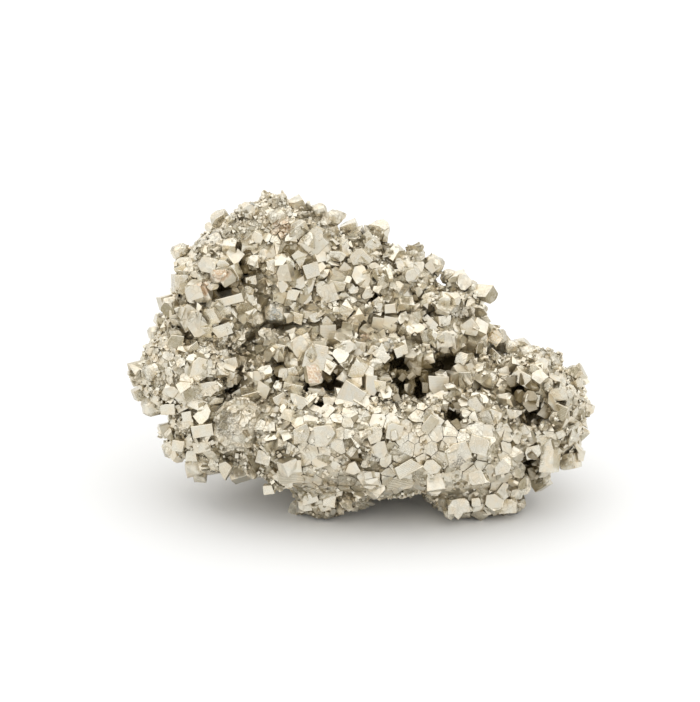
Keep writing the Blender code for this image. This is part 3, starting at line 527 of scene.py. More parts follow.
def hollow_depth_at(point):
    """How far into a hollow a place is: 0 from just outside its rim, to 1 well inside."""
    across, up = in_sight_plane(point)
    deepest = 0.0
    for hollow in HOLLOWS:
        turn = math.radians(hollow.turn)
        x, y = across - hollow.across, up - hollow.up
        along = (x * math.cos(turn) + y * math.sin(turn)) / hollow.half_wide
        over = (y * math.cos(turn) - x * math.sin(turn)) / hollow.half_high
        deepest = max(deepest, min(1.0, 2.4 * (1.15 - math.hypot(along, over))))
    return max(0.0, deepest)


def listed_crystals(surface):
    """Every listed crystal, seated on the solid along its sight line."""
    rule, small_rule, slant_rule = (random.Random(CORNER_SEED + step) for step in range(3))
    seated = []
    for number, row in enumerate(CRYSTALS + EDGE_FILL):
        crystal = Crystal(*row)
        ray = sight_ray(crystal.across, crystal.up)
        deep = (crystal.wide + crystal.high) / 2
        sides = Vector((crystal.wide, deep, crystal.high)) * MM
        turn = sight_turn(crystal.yaw, crystal.tilt, crystal.roll)
        in_solid = deep >= SMALLEST_SOLID_CRYSTAL and number < len(CRYSTALS)
        hit = surface.ray_cast(EYE, ray)[0]
        at_rim = hit is None or crystal.habit == ROUNDED and near_outline(surface, crystal)
        if hit is None:
            hit = nearest_along(surface, ray)
        if in_solid:
            local = turn.transposed() @ ray
            reach = min(s / 2 / max(abs(c), 1e-6) for s, c in zip(sides, local))
        else:
            reach = (0.5 - STANDING_OUT) * deep * MM
        bm = block(sides)
        # Every habit draws its cuts, so that those of the others stay as they are in the solid.
        cut_corners(bm, sides, min(crystal.habit, ROUNDED), rule if in_solid else small_rule)
        slants = []
        if crystal.habit == ROUNDED:
            bm.free()
            bm = block(sides)
        elif crystal.habit == BALL:
            bm.clear()
            bmesh.ops.create_icosphere(bm, subdivisions=5, radius=BALL_RADIUS)
            reach = BALL_RADIUS - BALL_PROUD
        else:
            count = slant_rule.choice(SLANTS_OF_HABIT[crystal.habit])
            slants = slant_planes(sides, count, Vector((0.0, -1.0, 0.0)), slant_rule)
            for point, normal in slants:
                cut_plane(bm, point, normal)
        perched = in_solid and at_rim
        seated.append(Seated(crystal, hit + ray * reach, turn, sides, bm, slants, perched))
    return seated


def near_outline(surface, crystal):
    """Whether a listed crystal stands where the solid's outline passes."""
    reach = 0.45 * (crystal.wide + crystal.high)
    return any(
        surface.ray_cast(EYE, sight_ray(crystal.across + x, crystal.up + y))[0] is None
        for x, y in ((-reach, 0.0), (reach, 0.0), (0.0, -reach), (0.0, reach))
    )


def slant_planes(sides, count, outward, rule):
    """Planes across a crystal's outline, where it met its neighbours as it grew."""
    axes = [Vector((1.0, 0.0, 0.0)), Vector((0.0, 1.0, 0.0)), Vector((0.0, 0.0, 1.0))]
    first, second = (axis for axis in axes if abs(axis.dot(outward)) < 0.5)
    planes = []
    for quarter in rule.sample(range(4), count):
        angle = math.radians(90.0 * quarter + 45.0 + rule.uniform(-32.0, 32.0))
        normal = first * math.cos(angle) + second * math.sin(angle)
        normal = (normal + outward * rule.uniform(-0.2, 0.5)).normalized()
        reach = sum(abs(n) * s / 2 for n, s in zip(normal, sides))
        planes.append((normal * reach * rule.uniform(0.6, 0.84), normal))
    return planes


def settled(bm, listed):
    """Sinks the crystals that stand on the outline, and the solid's own blocks with them."""
    bm.normal_update()
    lowered = []
    for item in listed:
        if item.perched:
            reach = 1.2 * max(item.sides)
            around = [vert for vert in bm.verts if (vert.co - item.centre).length < reach]
            outward = sum((vert.normal for vert in around), Vector()).normalized()
            shift = outward * -SETTLED * min(item.sides)
            for vert in around:
                if on_crystal(vert.co, item):
                    vert.co += shift
            item = item._replace(centre=item.centre + shift)
        lowered.append(item)
    bm.normal_update()
    return lowered


def planted(bm):
    """The tarnish on a copy of the solid, and the listed crystals, settled into it."""
    surface = BVHTree.FromBMesh(bm)
    return seated_stains(surface), settled(bm, listed_crystals(surface))


def nearest_along(surface, ray):
    """The place on the solid that a sight line passes nearest to."""
    passes = [EYE + ray * (SIGHT_DISTANCE + depth * MM) for depth in range(-40, 41)]
    return min((surface.find_nearest(p) for p in passes), key=lambda found: found[3])[0]


def patch_at(point, normal):
    """The patch that a place on the solid is in. The hidden sides take the common patch."""
    away = turned_away(point, normal)
    if away > RIM_AWAY:
        return ELSEWHERE
    if away > -RIM_TOWARDS:
        return RIM
    across, up = in_sight_plane(point)
    for patch in PATCHES:
        x = (across - patch.across) / patch.half_wide
        y = (up - patch.up) / patch.half_high
        wobble = 0.25 * noise.noise(point / MM * 0.25)
        if x * x + y * y < 1.0 + wobble:
            return patch
    return ELSEWHERE


class SeatGrid:
    """Seats kept in cells, so that the near ones are found quickly."""

    def __init__(self, cell):
        self.cell = cell
        self.cells = {}

    def near(self, point):
        x, y, z = (int(c // self.cell) for c in point)
        for i in (x - 1, x, x + 1):
            for j in (y - 1, y, y + 1):
                for k in (z - 1, z, z + 1):
                    yield from self.cells.get((i, j, k), ())

    def add(self, point, item):
        key = tuple(int(c // self.cell) for c in point)
        self.cells.setdefault(key, []).append(item)


def mosaic_seats(solid, listed, sizes):
    """Places for the mosaic's crystals: as close as their patches ask, off the listed crystals."""
    rule = random.Random(sizes.seed)
    triangles, areas = [], []
    for face in solid.faces:
        for corner in range(1, len(face.verts) - 1):
            a, b, c = (face.verts[i].co for i in (0, corner, corner + 1))
            triangles.append((a, b, c, face.normal))
            areas.append((b - a).cross(c - a).length / 2)
    tries = int(sum(areas) / (MM * MM) * TRIES_PER_SQUARE_MM)
    seats = []
    grid = SeatGrid(GRID_CELL)
    for a, b, c, normal in rule.choices(triangles, weights=areas, k=tries):
        s, t = rule.random(), rule.random()
        if s + t > 1.0:
            s, t = 1.0 - s, 1.0 - t
        point = a + (b - a) * s + (c - a) * t
        patch = patch_at(point, normal)
        dirt = 0.0 if patch is ELSEWHERE else hollow_depth_at(point)
        space = patch.spacing * sizes.spacing * rule.uniform(0.7, 1.35) * (1.0 - 0.3 * dirt) * MM
        if patch is ELSEWHERE:
            behind = max(0.0, min(1.0, (turned_away(point, normal) - BEHIND) / 0.3))
            space *= 0.8 + behind * (0.3 + 0.8 * noise.noise(point / MM * 0.09))
        if any((point - p).length < (space + q) / 2 for p, q in grid.near(point)):
            continue
        if any(on_crystal(point, crystal) for crystal in listed):
            continue
        grid.add(point, (point, space))
        if dirt < 0.6 or rule.random() < 0.7:
            seats.append(Seat(point, normal, space, patch, dirt))
    return levelled(seats)


def levelled(seats):
    """The seats moved towards the mean of those around them, as far as their patches are level."""
    tree = seat_tree(seats)
    moved = []
    for seat in seats:
        around = [seats[i] for _, i, _ in tree.find_range(seat.point, LEVEL_REACH)]
        around = [other for other in around if other.normal.dot(seat.normal) > 0.1]
        lie = sum((other.normal for other in around), Vector()).normalized()
        middle = sum((other.point for other in around), Vector()) / len(around)
        amount = LEVELLING[seat.patch.lie] * (1.0 - seat.dirt)
        step = lie * (middle - seat.point).dot(lie) * amount
        normal = seat.normal.lerp(lie, amount).normalized()
        moved.append(seat._replace(point=seat.point + step, normal=normal))
    return moved


def seat_tree(seats):
    tree = kdtree.KDTree(len(seats))
    for index, seat in enumerate(seats):
        tree.insert(seat.point, index)
    tree.balance()
    return tree


def on_crystal(point, item):
    """Whether a place is on or in a listed crystal, apart from edges that others grew over."""
    offset = point - item.centre
    if item.kind.habit == BALL:
        return offset.length < BALL_RADIUS + BALL_RING
    if offset.length > max(item.sides):
        return False
    local = item.turn.transposed() @ offset
    if any(abs(c) > s / 2 + BARE_MARGIN for c, s in zip(local, item.sides)):
        return False
    if any((local - place).dot(normal) > BARE_MARGIN for place, normal in item.slants):
        return False
    overgrown = OVERGROWN * noise.noise(point / MM * 0.35)
    return sum(abs(c) > s / 2 - overgrown for c, s in zip(local, item.sides)) < 2


def lying_turn(normal, lie, rule):
    """How a mosaic crystal lies: one face outwards, tilted as much as its patch asks."""
    level = normal.to_track_quat("Z", "Y").to_matrix()
    tilt = math.radians(TILT_OF_LIE[lie])
    sway = Euler((rule.gauss(0.0, tilt), rule.gauss(0.0, tilt), rule.uniform(0.0, math.pi)))
    return level @ sway.to_matrix()


def mosaic_crystal(seat, neighbours, sizes, rule):
    """One crystal of the mosaic, cut where it meets its neighbours, with its middle and turn."""
    point, normal, space, patch, dirt = seat
    turn = lying_turn(normal, patch.lie, rule)
    drawn = 2 if patch.lie == FLAT else 3
    spans = [rule.uniform(*SIDES_OF_LIE[patch.lie]) for _ in range(drawn)] + [1.0]
    sides = Vector(spans[:3]) * space
    proud = rule.uniform(*PROUD_OF_LIE[patch.lie])
    slack = sizes.groove / 2
    if patch.lie == CUBES:
        proud *= 1.0 - 0.5 * dirt
        slack = -rule.uniform(*CUBES_OVERLAP) * space
    bm = block(sides)
    cut_corners(bm, sides, rule.choices(CORNERS_CUT, weights=CORNERS_WEIGHTS)[0], rule)
    skew(bm, sides, 0.06, rule)
    if patch.lie != FLAT:
        for place, facing in slant_planes(sides, rule.choice(SLANTS_CUT), OUTWARD, rule):
            cut_plane(bm, place, facing)
    reach = max(normal.dot(turn @ vert.co) for vert in bm.verts)
    centre = point + normal * (proud * space - reach)
    inverse = turn.transposed()
    for other, other_space in neighbours:
        between = other - point
        distance = between.length
        share = distance * space / (space + other_space) - slack
        if distance > 1e-6 and share < max(sides):
            direction = inverse @ (between / distance)
            middle = inverse @ (point - centre)
            cut_plane(bm, middle + direction * share, direction)
    return bm, centre, turn


def above_ground(bm, centre, turn):
    """Cuts a crystal level with the surface that the specimen rests on."""
    if min((centre + turn @ vert.co).z for vert in bm.verts) < 0.0:
        down = turn.transposed() @ Vector((0.0, 0.0, -1.0))
        cut_plane(bm, down * centre.z, down)


# --- finishes ---


def add_node(tree, kind, inputs=None, **settings):
    """Adds a node with its settings. Its inputs take numbers, or the outputs linked into them."""
    node = tree.nodes.new(kind)
    for name, value in settings.items():
        setattr(node, name, value)
    for key, value in (inputs or {}).items():
        source = value.outputs[0] if isinstance(value, bpy.types.Node) else value
        if isinstance(source, bpy.types.NodeSocket):
            tree.links.new(source, node.inputs[key])
        else:
            node.inputs[key].default_value = source
    return node


def new_material(name):
    material = bpy.data.materials.new(name)
    material.use_nodes = True
    tree = material.node_tree
    return material, tree, tree.nodes["Principled BSDF"]


def crystal_material(name, colours):
    """Pyrite, grown from hot water: metal-bright faces with growth lines, crust and thin tarnish, with
    painted shade and dirt in the crevices and hollows.
    """
    material, tree, shader = new_material(name)
    node = partial(add_node, tree)
    place = node("ShaderNodeTexCoord").outputs["Object"]
    bright, crust, dirt, rough, lined = (
        node("ShaderNodeAttribute", attribute_name=kind).outputs["Fac"] for kind in Finish._fields
    )
    # Tarnish drifts over the faces at about 3 mm, specks of it are under half a millimetre, and warm
    # and cool casts change at 2 mm.
    drift, speck, wavy = (
        node(
            "ShaderNodeTexNoise",
            {"Vector": place, "Scale": scale, "Detail": detail, "Roughness": ragged},
        )
        for scale, detail, ragged in ((330.0, 4.0, 0.62), (2300.0, 3.0, 0.65), (500.0, 2.0, 0.5))
    )
    # Crust is small crystals grown into the face: plates of 2 mm, and grains of 0.8 mm in patches.
    bent = node(
        "ShaderNodeVectorMath",
        {0: wavy.outputs["Color"], 1: [0.6 * MM] * 3, 2: place},
        operation="MULTIPLY_ADD",
    )
    grainy = node(
        "ShaderNodeMapRange", {"Value": drift, "From Min": 0.4, "From Max": 0.55, "To Max": crust}
    )
    tone = node("ShaderNodeMath", {0: drift, 1: 0.6, 2: bright}, operation="MULTIPLY_ADD")
    crack = 0.0
    leaning = []
    for across, share, contrast, gap, lean in (
        (2.1 * MM, crust, 0.28, 0.035, 0.32),
        (0.8 * MM, grainy, 0.4, 0.1, 0.75),
    ):
        cell, side = (
            node("ShaderNodeTexVoronoi", {"Vector": bent, "Scale": 1 / across}, feature=feature)
            for feature in ("F1", "DISTANCE_TO_EDGE")
        )
        step = node(
            "ShaderNodeMapRange",
            {"Value": cell.outputs["Color"], "To Min": -contrast, "To Max": contrast},
        )
        tone = node("ShaderNodeMath", {0: step, 1: share, 2: tone}, operation="MULTIPLY_ADD")
        gap_here = node(
            "ShaderNodeMapRange",
            {"Value": side, "From Min": gap, "From Max": 0.2 * gap, "To Max": share},
        )
        crack = node("ShaderNodeMath", {0: gap_here, 1: crack}, operation="MAXIMUM")
        from_middle = node(
            "ShaderNodeVectorMath", {0: cell.outputs["Color"], 1: [0.5] * 3}, operation="SUBTRACT"
        )
        amount = node("ShaderNodeMath", {0: share, 1: lean}, operation="MULTIPLY")
        leaning.append(
            node("ShaderNodeVectorMath", {0: from_middle, "Scale": amount}, operation="SCALE")
        )
    specks = node(
        "ShaderNodeMapRange", {"Value": speck, "From Min": 0.58, "From Max": 0.4, "To Max": crust}
    )
    # Growth lines run along one edge of each cube face, about 0.35 mm apart, coarser than they grow.
    axes = node("ShaderNodeUVMap", uv_map="crystal_axes")
    lines = node(
        "ShaderNodeTexWave", {"Vector": axes, "Scale": 0.9, "Distortion": 2.0, "Detail": 2.0}
    )
    lines = node("ShaderNodeMath", {0: lines.outputs["Fac"], 1: lined}, operation="MULTIPLY")
    # What darkens, dulls and lifts the faces, each pattern with its weight.
    sums = {"tone": tone, "rough": rough, "relief": 0.0}
    for total, terms in (
        ("tone", ((specks, -0.3), (lines, -0.38))),
        ("rough", ((crust, 0.1), (speck, 0.12))),
        ("relief", ((lines, 0.06), (drift, 0.9), (specks, -0.12), (crack, -0.35))),
    ):
        for pattern, weight in terms:
            terms_so_far = {0: pattern, 1: weight, 2: sums[total]}
            sums[total] = node("ShaderNodeMath", terms_so_far, operation="MULTIPLY_ADD")
    level = node("ShaderNodeMapRange", {"Value": sums["tone"], "From Min": 0.3, "From Max": 1.0})
    warmth = node(
        "ShaderNodeMapRange",
        {"Value": wavy.outputs["Color"], "From Min": 0.42, "From Max": 0.62, "To Max": 0.7},
    )
    clean = node(
        "ShaderNodeMix",
        {0: warmth, 6: list(colours.bright), 7: list(colours.warm)},
        data_type="RGBA",
    )
    stain = node("ShaderNodeAttribute", attribute_name="stain")
    stained = node(
        "ShaderNodeMapRange",
        {"Value": speck, "From Min": 0.62, "From Max": 0.42, "To Max": stain.outputs["Alpha"]},
    )
    # Painted shade, partly brown dirt: shut-in places that ambient occlusion finds take the hollow
    # colour, reaching further out of the deep hollows, and the cracks between plates darken with them.
    crevice_shade = node("ShaderNodeAmbientOcclusion", {"Distance": 2.2 * MM}, samples=6)
    open_here = node(
        "ShaderNodeMath", {0: dirt, 1: -0.85, 2: crevice_shade.outputs["AO"]}, operation="MULTIPLY_ADD"
    )
    shade_dirt_and_joints = node("ShaderNodeMapRange", {"Value": open_here, "From Min": 0.5, "From Max": 0.0})
    worn = node("ShaderNodeMath", {0: crack, 1: 0.4}, operation="MULTIPLY")
    shade_dirt_and_joints = node("ShaderNodeMath", {0: shade_dirt_and_joints, 1: worn}, operation="MAXIMUM")
    colour = list(colours.dull)
    for cover, over in (
        (level, clean.outputs[2]),
        (stained, stain.outputs["Color"]),
        (shade_dirt_and_joints, list(colours.hollow)),
    ):
        mixed = node("ShaderNodeMix", {0: cover, 6: colour, 7: over}, data_type="RGBA")
        colour = mixed.outputs[2]
    # The painted shade and dirt also make a face less metal.
    metal = node("ShaderNodeMapRange", {"Value": shade_dirt_and_joints, "To Min": 1.0, "To Max": 0.25})
    facing = node(
        "ShaderNodeBump", {"Height": sums["relief"], "Strength": 0.5, "Distance": 0.3 * MM}
    )
    # Each plate and grain faces its own way, and so mirrors its own part of the room.
    for lean in leaning:
        facing = node("ShaderNodeVectorMath", {0: facing, 1: lean}, operation="ADD")
    facing = node("ShaderNodeVectorMath", {0: facing}, operation="NORMALIZE")
    tree.links.new(colour, shader.inputs["Base Color"])
    for socket, source in (("Roughness", sums["rough"]), ("Metallic", metal), ("Normal", facing)):
        tree.links.new(source.outputs[0], shader.inputs[socket])
    return material


# --- grains ---

GRAINS_PER_SQUARE_METRE = 4.0e6
# The least and most of each part of a grain's finish.
GRAIN_FINISH = (("bright", 0.5, 1.0), ("crust", 0.0, 0.4), ("rough", 0.18, 0.38), ("lined", 0.0, 0.0))


def grain_tree():
    """Scatters small crystals over a mesh, as close as its grain attribute asks."""
    tree = bpy.data.node_groups.new("grains", "GeometryNodeTree")
    node = partial(add_node, tree)
    sockets = {"Geometry": "Geometry", "Spacing": "Float", "Smallest": "Float"}
    sockets |= {"Largest": "Float", "Raised": "Float", "Seed": "Int", "Material": "Material"}
    for name, kind in sockets.items():
        tree.interface.new_socket(name, in_out="INPUT", socket_type="NodeSocket" + kind)
    tree.interface.new_socket("Geometry", in_out="OUTPUT", socket_type="NodeSocketGeometry")
    asked = node("NodeGroupInput").outputs
    spread = node(
        "GeometryNodeDistributePointsOnFaces",
        {
            "Mesh": asked["Geometry"],
            "Distance Min": asked["Spacing"],
            "Density Max": GRAINS_PER_SQUARE_METRE,
            "Density Factor": node("GeometryNodeInputNamedAttribute", {"Name": "grain"}),
            "Seed": asked["Seed"],
        },
        distribute_method="POISSON",
    )
    raised = node(
        "ShaderNodeVectorMath",
        {0: spread.outputs["Normal"], "Scale": asked["Raised"]},
        operation="SCALE",
    )
    seats = node("GeometryNodeSetPosition", {"Geometry": spread, "Offset": raised})
    cube = node("GeometryNodeMeshCube", {"Size": [1.0, 0.85, 1.15]})
    octahedron = node("GeometryNodeMeshUVSphere", {"Segments": 4, "Rings": 2, "Radius": 0.8})
    kinds = node("GeometryNodeGeometryToInstance")
    for shape in (cube, octahedron):
        tree.links.new(shape.outputs["Mesh"], kinds.inputs[0])
    turn, size, which = (
        node("FunctionNodeRandomValue", {**ends, "Seed": asked["Seed"]}, data_type=kind).outputs[out]
        for out, (kind, ends) in enumerate(
            (
                ("FLOAT_VECTOR", {1: [math.tau] * 3}),
                ("FLOAT", {2: asked["Smallest"], 3: asked["Largest"]}),
                ("INT", {4: 0, 5: 1}),
            )
        )
    )
    grown = node(
        "GeometryNodeInstanceOnPoints",
        {
            "Points": seats,
            "Instance": kinds,
            "Pick Instance": True,
            "Instance Index": which,
            "Rotation": turn,
            "Scale": size,
        },
    )
    for seed, (kind, low, high) in enumerate(GRAIN_FINISH):
        ends = {2: low, 3: high, "Seed": seed}
        value = node("FunctionNodeRandomValue", ends, data_type="FLOAT").outputs[1]
        grown = node(
            "GeometryNodeStoreNamedAttribute",
            {"Geometry": grown, "Name": kind, "Value": value},
            data_type="FLOAT",
            domain="INSTANCE",
        )
    whole = node("GeometryNodeRealizeInstances", {"Geometry": grown})
    dressed = node(
        "GeometryNodeSetMaterial", {"Geometry": whole, "Material": asked["Material"]}
    )
    node("NodeGroupOutput", {"Geometry": dressed})
    return tree


def evaluated(name, mesh, tree, values):
    """The plain mesh that a Geometry Nodes tree makes of a mesh, with the tree's inputs set."""
    source = bpy.data.objects.new(name, mesh)
    bpy.context.scene.collection.objects.link(source)
    modifier = source.modifiers.new(name, "NODES")
    modifier.node_group = tree
    for item in tree.interface.items_tree:
        if item.in_out == "INPUT" and item.name in values:
            modifier[item.identifier] = values[item.name]
    graph = bpy.context.evaluated_depsgraph_get()
    made = bpy.data.meshes.new_from_object(source.evaluated_get(graph))
    source.modifiers.remove(modifier)
    bpy.data.objects.remove(source)
    made.name = name
    return made


def place_piece(name, mesh, material):
    obj = bpy.data.objects.new(name, mesh)
    bpy.context.scene.collection.objects.link(obj)
    mesh.materials.clear()
    mesh.materials.append(material)
    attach(obj, BODY)
    return obj


# --- what the user sets ---


class PyriteSizes(bpy.types.PropertyGroup):
    spacing: FloatProperty(
        name="Spacing",
        description="Spacing of the mosaic's crystals against its patches",
        default=1.0,
    )
    groove: FloatProperty(
        name="Groove",
        description="Gap between crystals grown against each other",
        default=0.09 * MM,
        unit="LENGTH",
    )
    edge: FloatProperty(
        name="Edge",
        description="Width of a large crystal's worn edge",
        default=0.08 * MM,
        unit="LENGTH",
    )
    grain: FloatProperty(
        name="Grain", description="Size of the finest grains", default=0.75 * MM, unit="LENGTH"
    )
    seed: IntProperty(name="Seed", description="Seed of the mosaic", default=5)


class PyriteColours(bpy.types.PropertyGroup):
    bright: FloatVectorProperty(
        name="Bright",
        description="Clean crystal face",
        size=4,
        subtype="COLOR",
        default=linear("#DFDACB"),
    )
    warm: FloatVectorProperty(
        name="Warm",
        description="Clean face with a warm cast",
        size=4,
        subtype="COLOR",
        default=linear("#E2D4BA"),
    )
    dull: FloatVectorProperty(
        name="Dull",
        description="Tarnished crystal face",
        size=4,
        subtype="COLOR",
        default=linear("#9D9379"),
    )
    # The hollow colour stands for painted shade as well as dirt in the crevices and hollows.
    hollow: FloatVectorProperty(
        name="Hollow",
        description="Dirt in the hollows",
        size=4,
        subtype="COLOR",
        default=linear("#786949"),
    )


# --- pieces ---


class PYRITE_OT_matrix(bpy.types.Operator):
    """Lays the massive pyrite that the crystals grew on"""

    bl_idname = "pyrite.matrix"
    bl_label = "Matrix"

    def execute(self, context):
        solid = solid_copy()
        refine(solid, 2)
        stains, listed = planted(solid)
        round_ones = [item for item in listed if item.kind.habit in (ROUNDED, BALL)]
        finishes, stained, grain = [], [], []
        for face in solid.faces:
            middle = face.calc_center_median()
            patch = patch_at(middle, face.normal)
            # On the showing side a face in a hollow gets painted shade and dirt; the hidden sides get
            # none.
            dirt = 0.0 if patch is ELSEWHERE else hollow_depth_at(middle)
            least = LEAST_DIRT_AND_SHADE[patch.lie]
            finishes.append(Finish(0.5, 1.0, least + (1.0 - least) * dirt, 0.4, 0.0))
            stained.append(stain_at(middle, stains))
            covered = middle.z < 0.8 * MM or any(on_crystal(middle, item) for item in listed)
            grain.append(0.0 if covered else patch.grain)
        for vert in solid.verts:
            inside = next((item for item in round_ones if on_crystal(vert.co, item)), None)
            if inside is not None:
                # A round crystal is smaller than the solid's block, so the block draws in under it.
                radius = BALL_RADIUS if inside.kind.habit == BALL else 0.48 * min(inside.sides)
                away = vert.co - inside.centre
                vert.co = inside.centre + away * min(1.0, 0.9 * radius / away.length)
                continue
            shown = (vert.co - EYE).dot(vert.normal) < 0.0
            dirt = hollow_depth_at(vert.co) if shown else 0.0
            vert.co -= vert.normal * (MATRIX_SUNK + HOLLOW_SUNK * dirt)
            vert.co.z = max(vert.co.z, 0.0)
        mesh = bpy.data.meshes.new("matrix")
        solid.to_mesh(mesh)
        solid.free()
        store_finishes(mesh, finishes, stained)
        store(mesh, "grain", grain)
        mesh.uv_layers.new(name="crystal_axes")
        material = crystal_material("massive pyrite", context.scene.pyrite_colours)
        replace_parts(place_piece("matrix", mesh, material), NODE)
        return {"FINISHED"}


class PYRITE_OT_large_crystals(bpy.types.Operator):
    """Seats the large crystals of the showing side"""

    bl_idname = "pyrite.large_crystals"
    bl_label = "Large crystals"

    def execute(self, context):
        solid = solid_copy()
        stains, listed = planted(solid)
        solid.free()
        rule = random.Random(3)
        # Blender's vector noise goes by the clock until it is given a seed.
        noise.seed_set(WAVE_SEED)
        heap = Heap(4, stains)
        edge = context.scene.pyrite_sizes.edge
        for crystal, centre, turn, sides, bm, *_ in listed:
            lined = rule.choice((0.0, 0.3, 1.0)) if crystal.habit == BLOCK else 0.0
            if max(crystal.wide, crystal.high) > ELONGATED * min(crystal.wide, crystal.high):
                lined = 1.0
            finish = Finish(
                rule.gauss(0.74, 0.08),
                CRUST_OF_HABIT[crystal.habit],
                # A crystal in a hollow takes a share of its painted shade and dirt.
                0.35 * hollow_depth_at(centre),
                rule.uniform(0.12, 0.24),
                lined,
            )
            if crystal.habit == BALL:
                encrust(bm)
            elif crystal.habit == ROUNDED:
                bevel(bm, ROUNDING * min(sides))
                wear(bm, edge, LUMPY_WAVES)
            else:
                skew(bm, sides, 0.05, rule)
                wear(bm, edge, EVEN_WAVES)
            above_ground(bm, centre, turn)
            heap.add(bm, centre, turn, finish)
        mesh = heap.build("large_crystals")
        mesh.shade_smooth()
        mesh.set_sharp_from_angle(angle=SMOOTH_ANGLE)
        material = crystal_material("crystal pyrite", context.scene.pyrite_colours)
        place_piece("large_crystals", mesh, material)
        return {"FINISHED"}


class PYRITE_OT_mosaic(bpy.types.Operator):
    """Grows the mosaic of crystals between and around the large ones"""

    bl_idname = "pyrite.mosaic"
    bl_label = "Mosaic"

    def execute(self, context):
        sizes = context.scene.pyrite_sizes
        solid = solid_copy()
        stains, listed = planted(solid)
        seats = mosaic_seats(solid, listed, sizes)
        solid.free()
        rule = random.Random(sizes.seed + 1)
        tree = seat_tree(seats)
        heap = Heap(sizes.seed + 2, stains)
        for index, seat in enumerate(seats):
            found = tree.find_range(seat.point, seat.space * 2.4)
            neighbours = [(seats[i].point, seats[i].space) for _, i, _ in found if i != index]
            bm, centre, turn = mosaic_crystal(seat, neighbours, sizes, rule)
            if len(bm.faces) < 4:
                bm.free()
                continue
            above_ground(bm, centre, turn)
            patch = seat.patch
            finish = Finish(
                rule.gauss(patch.bright, 0.09),
                min(1.0, patch.crust * rule.uniform(0.3, 1.3)),
                # The seat's painted shade and dirt from the hollows; fine patches have their least.
                seat.dirt if patch.lie != FINE else max(seat.dirt, LEAST_DIRT_AND_SHADE[FINE]),
                rule.uniform(0.15, 0.3),
                rule.choice((0.0, 0.0, 0.1, 0.5)) * (patch.lie == CUBES),
            )
            heap.add(bm, centre, turn, finish)
        material = crystal_material("intergrown pyrite", context.scene.pyrite_colours)
        place_piece("mosaic", heap.build("mosaic"), material)
        return {"FINISHED"}


class PYRITE_OT_grains(bpy.types.Operator):
    """Scatters the fine grains between the crystals"""

    bl_idname = "pyrite.grains"
    bl_label = "Grains"

    def execute(self, context):
        size = context.scene.pyrite_sizes.grain
        material = crystal_material("grains of pyrite", context.scene.pyrite_colours)
        values = {
            "Spacing": 0.62 * size,
            "Smallest": 0.45 * size,
            "Largest": 1.25 * size,
            "Raised": 0.4 * size,
            "Seed": context.scene.pyrite_sizes.seed,
            "Material": material,
        }
        source = bpy.data.objects["matrix"].data.copy()
        mesh = evaluated("grains", source, grain_tree(), values)
        place_piece("grains", mesh, material)
        return {"FINISHED"}


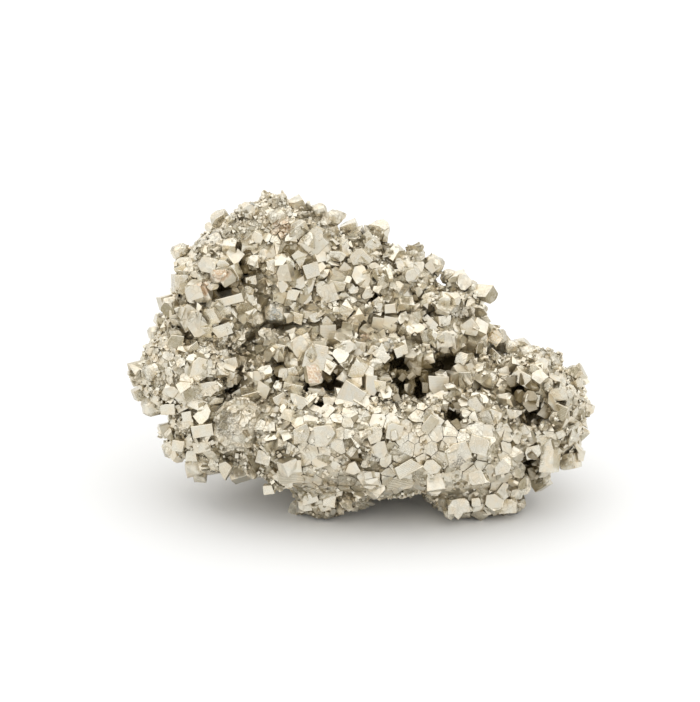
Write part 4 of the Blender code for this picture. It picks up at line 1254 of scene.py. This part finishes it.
class PYRITE_OT_stage(bpy.types.Operator):
    """Sets the floor, the studio lights and the camera"""

    bl_idname = "pyrite.stage"
    bl_label = "Stage"

    def execute(self, context):
        scene = context.scene
        scene.view_settings.view_transform = "Standard"
        scene.view_settings.look = "None"
        bm = bmesh.new()
        bmesh.ops.create_grid(bm, x_segments=1, y_segments=1, size=6.0)
        mesh = bpy.data.meshes.new("floor")
        bm.to_mesh(mesh)
        bm.free()
        floor = bpy.data.objects.new("floor", mesh)
        scene.collection.objects.link(floor)
        material, _, shader = new_material("white studio sweep")
        shader.inputs["Base Color"].default_value = linear("#E9E9E8")
        shader.inputs["Roughness"].default_value = 0.9
        shader.inputs["Specular IOR Level"].default_value = 0.0
        mesh.materials.append(material)
        world = bpy.data.worlds.new("studio")
        scene.world = world
        world.use_nodes = True
        background = world.node_tree.nodes["Background"]
        background.inputs["Color"].default_value = linear("#FFFFFF")
        tree = world.node_tree
        sky = add_node(tree, "ShaderNodeTexCoord").outputs["Generated"]
        height = add_node(tree, "ShaderNodeSeparateXYZ", {0: sky}).outputs["Z"]
        glow = {"Value": height, "From Min": ROOM_FROM, "From Max": ROOM_TO}
        glow |= {"To Min": ROOM_LOW, "To Max": ROOM_HIGH}
        glow = add_node(tree, "ShaderNodeMapRange", glow)
        tree.links.new(glow.outputs[0], background.inputs["Strength"])
        for name, place, size, power in LAMPS:
            lamp = bpy.data.lights.new(name, "AREA")
            lamp.shape = "RECTANGLE"
            lamp.size, lamp.size_y = size
            lamp.energy = power
            obj = bpy.data.objects.new(name, lamp)
            obj.location = place
            aim = Vector((0.0, 0.0, 0.03)) - Vector(place)
            obj.rotation_euler = aim.to_track_quat("-Z", "Y").to_euler()
            scene.collection.objects.link(obj)
        camera = bpy.data.cameras.new("camera")
        camera.lens = 100.0
        camera.sensor_fit = "VERTICAL"
        camera.sensor_width = camera.sensor_height = 36.0
        camera.clip_start = 0.01
        seen = bpy.data.objects.new("camera", camera)
        seen.location = EYE
        seen.rotation_euler = AWAY.to_track_quat("-Z", "Y").to_euler()
        scene.collection.objects.link(seen)
        scene.camera = seen
        return {"FINISHED"}


class VIEW3D_PT_pyrite(bpy.types.Panel):
    bl_label = "Pyrite specimen"
    bl_space_type = "VIEW_3D"
    bl_region_type = "UI"
    bl_category = "Pyrite"

    def draw(self, context):
        layout = self.layout
        for group in (context.scene.pyrite_sizes, context.scene.pyrite_colours):
            for name in group.__annotations__:
                layout.prop(group, name)
        for step in STEPS:
            layout.operator(step.bl_idname)


STEPS = (
    PYRITE_OT_matrix,
    PYRITE_OT_large_crystals,
    PYRITE_OT_mosaic,
    PYRITE_OT_grains,
    PYRITE_OT_stage,
)
CLASSES = (PyriteSizes, PyriteColours, *STEPS, VIEW3D_PT_pyrite)


def register():
    for cls in CLASSES:
        bpy.utils.register_class(cls)
    bpy.types.Scene.pyrite_sizes = PointerProperty(type=PyriteSizes)
    bpy.types.Scene.pyrite_colours = PointerProperty(type=PyriteColours)


def unregister():
    del bpy.types.Scene.pyrite_colours
    del bpy.types.Scene.pyrite_sizes
    for cls in reversed(CLASSES):
        bpy.utils.unregister_class(cls)


def main():
    register()
    bpy.ops.pyrite.matrix()
    bpy.ops.pyrite.large_crystals()
    bpy.ops.pyrite.mosaic()
    bpy.ops.pyrite.grains()
    bpy.ops.pyrite.stage()


if __name__ == "__main__":
    main()
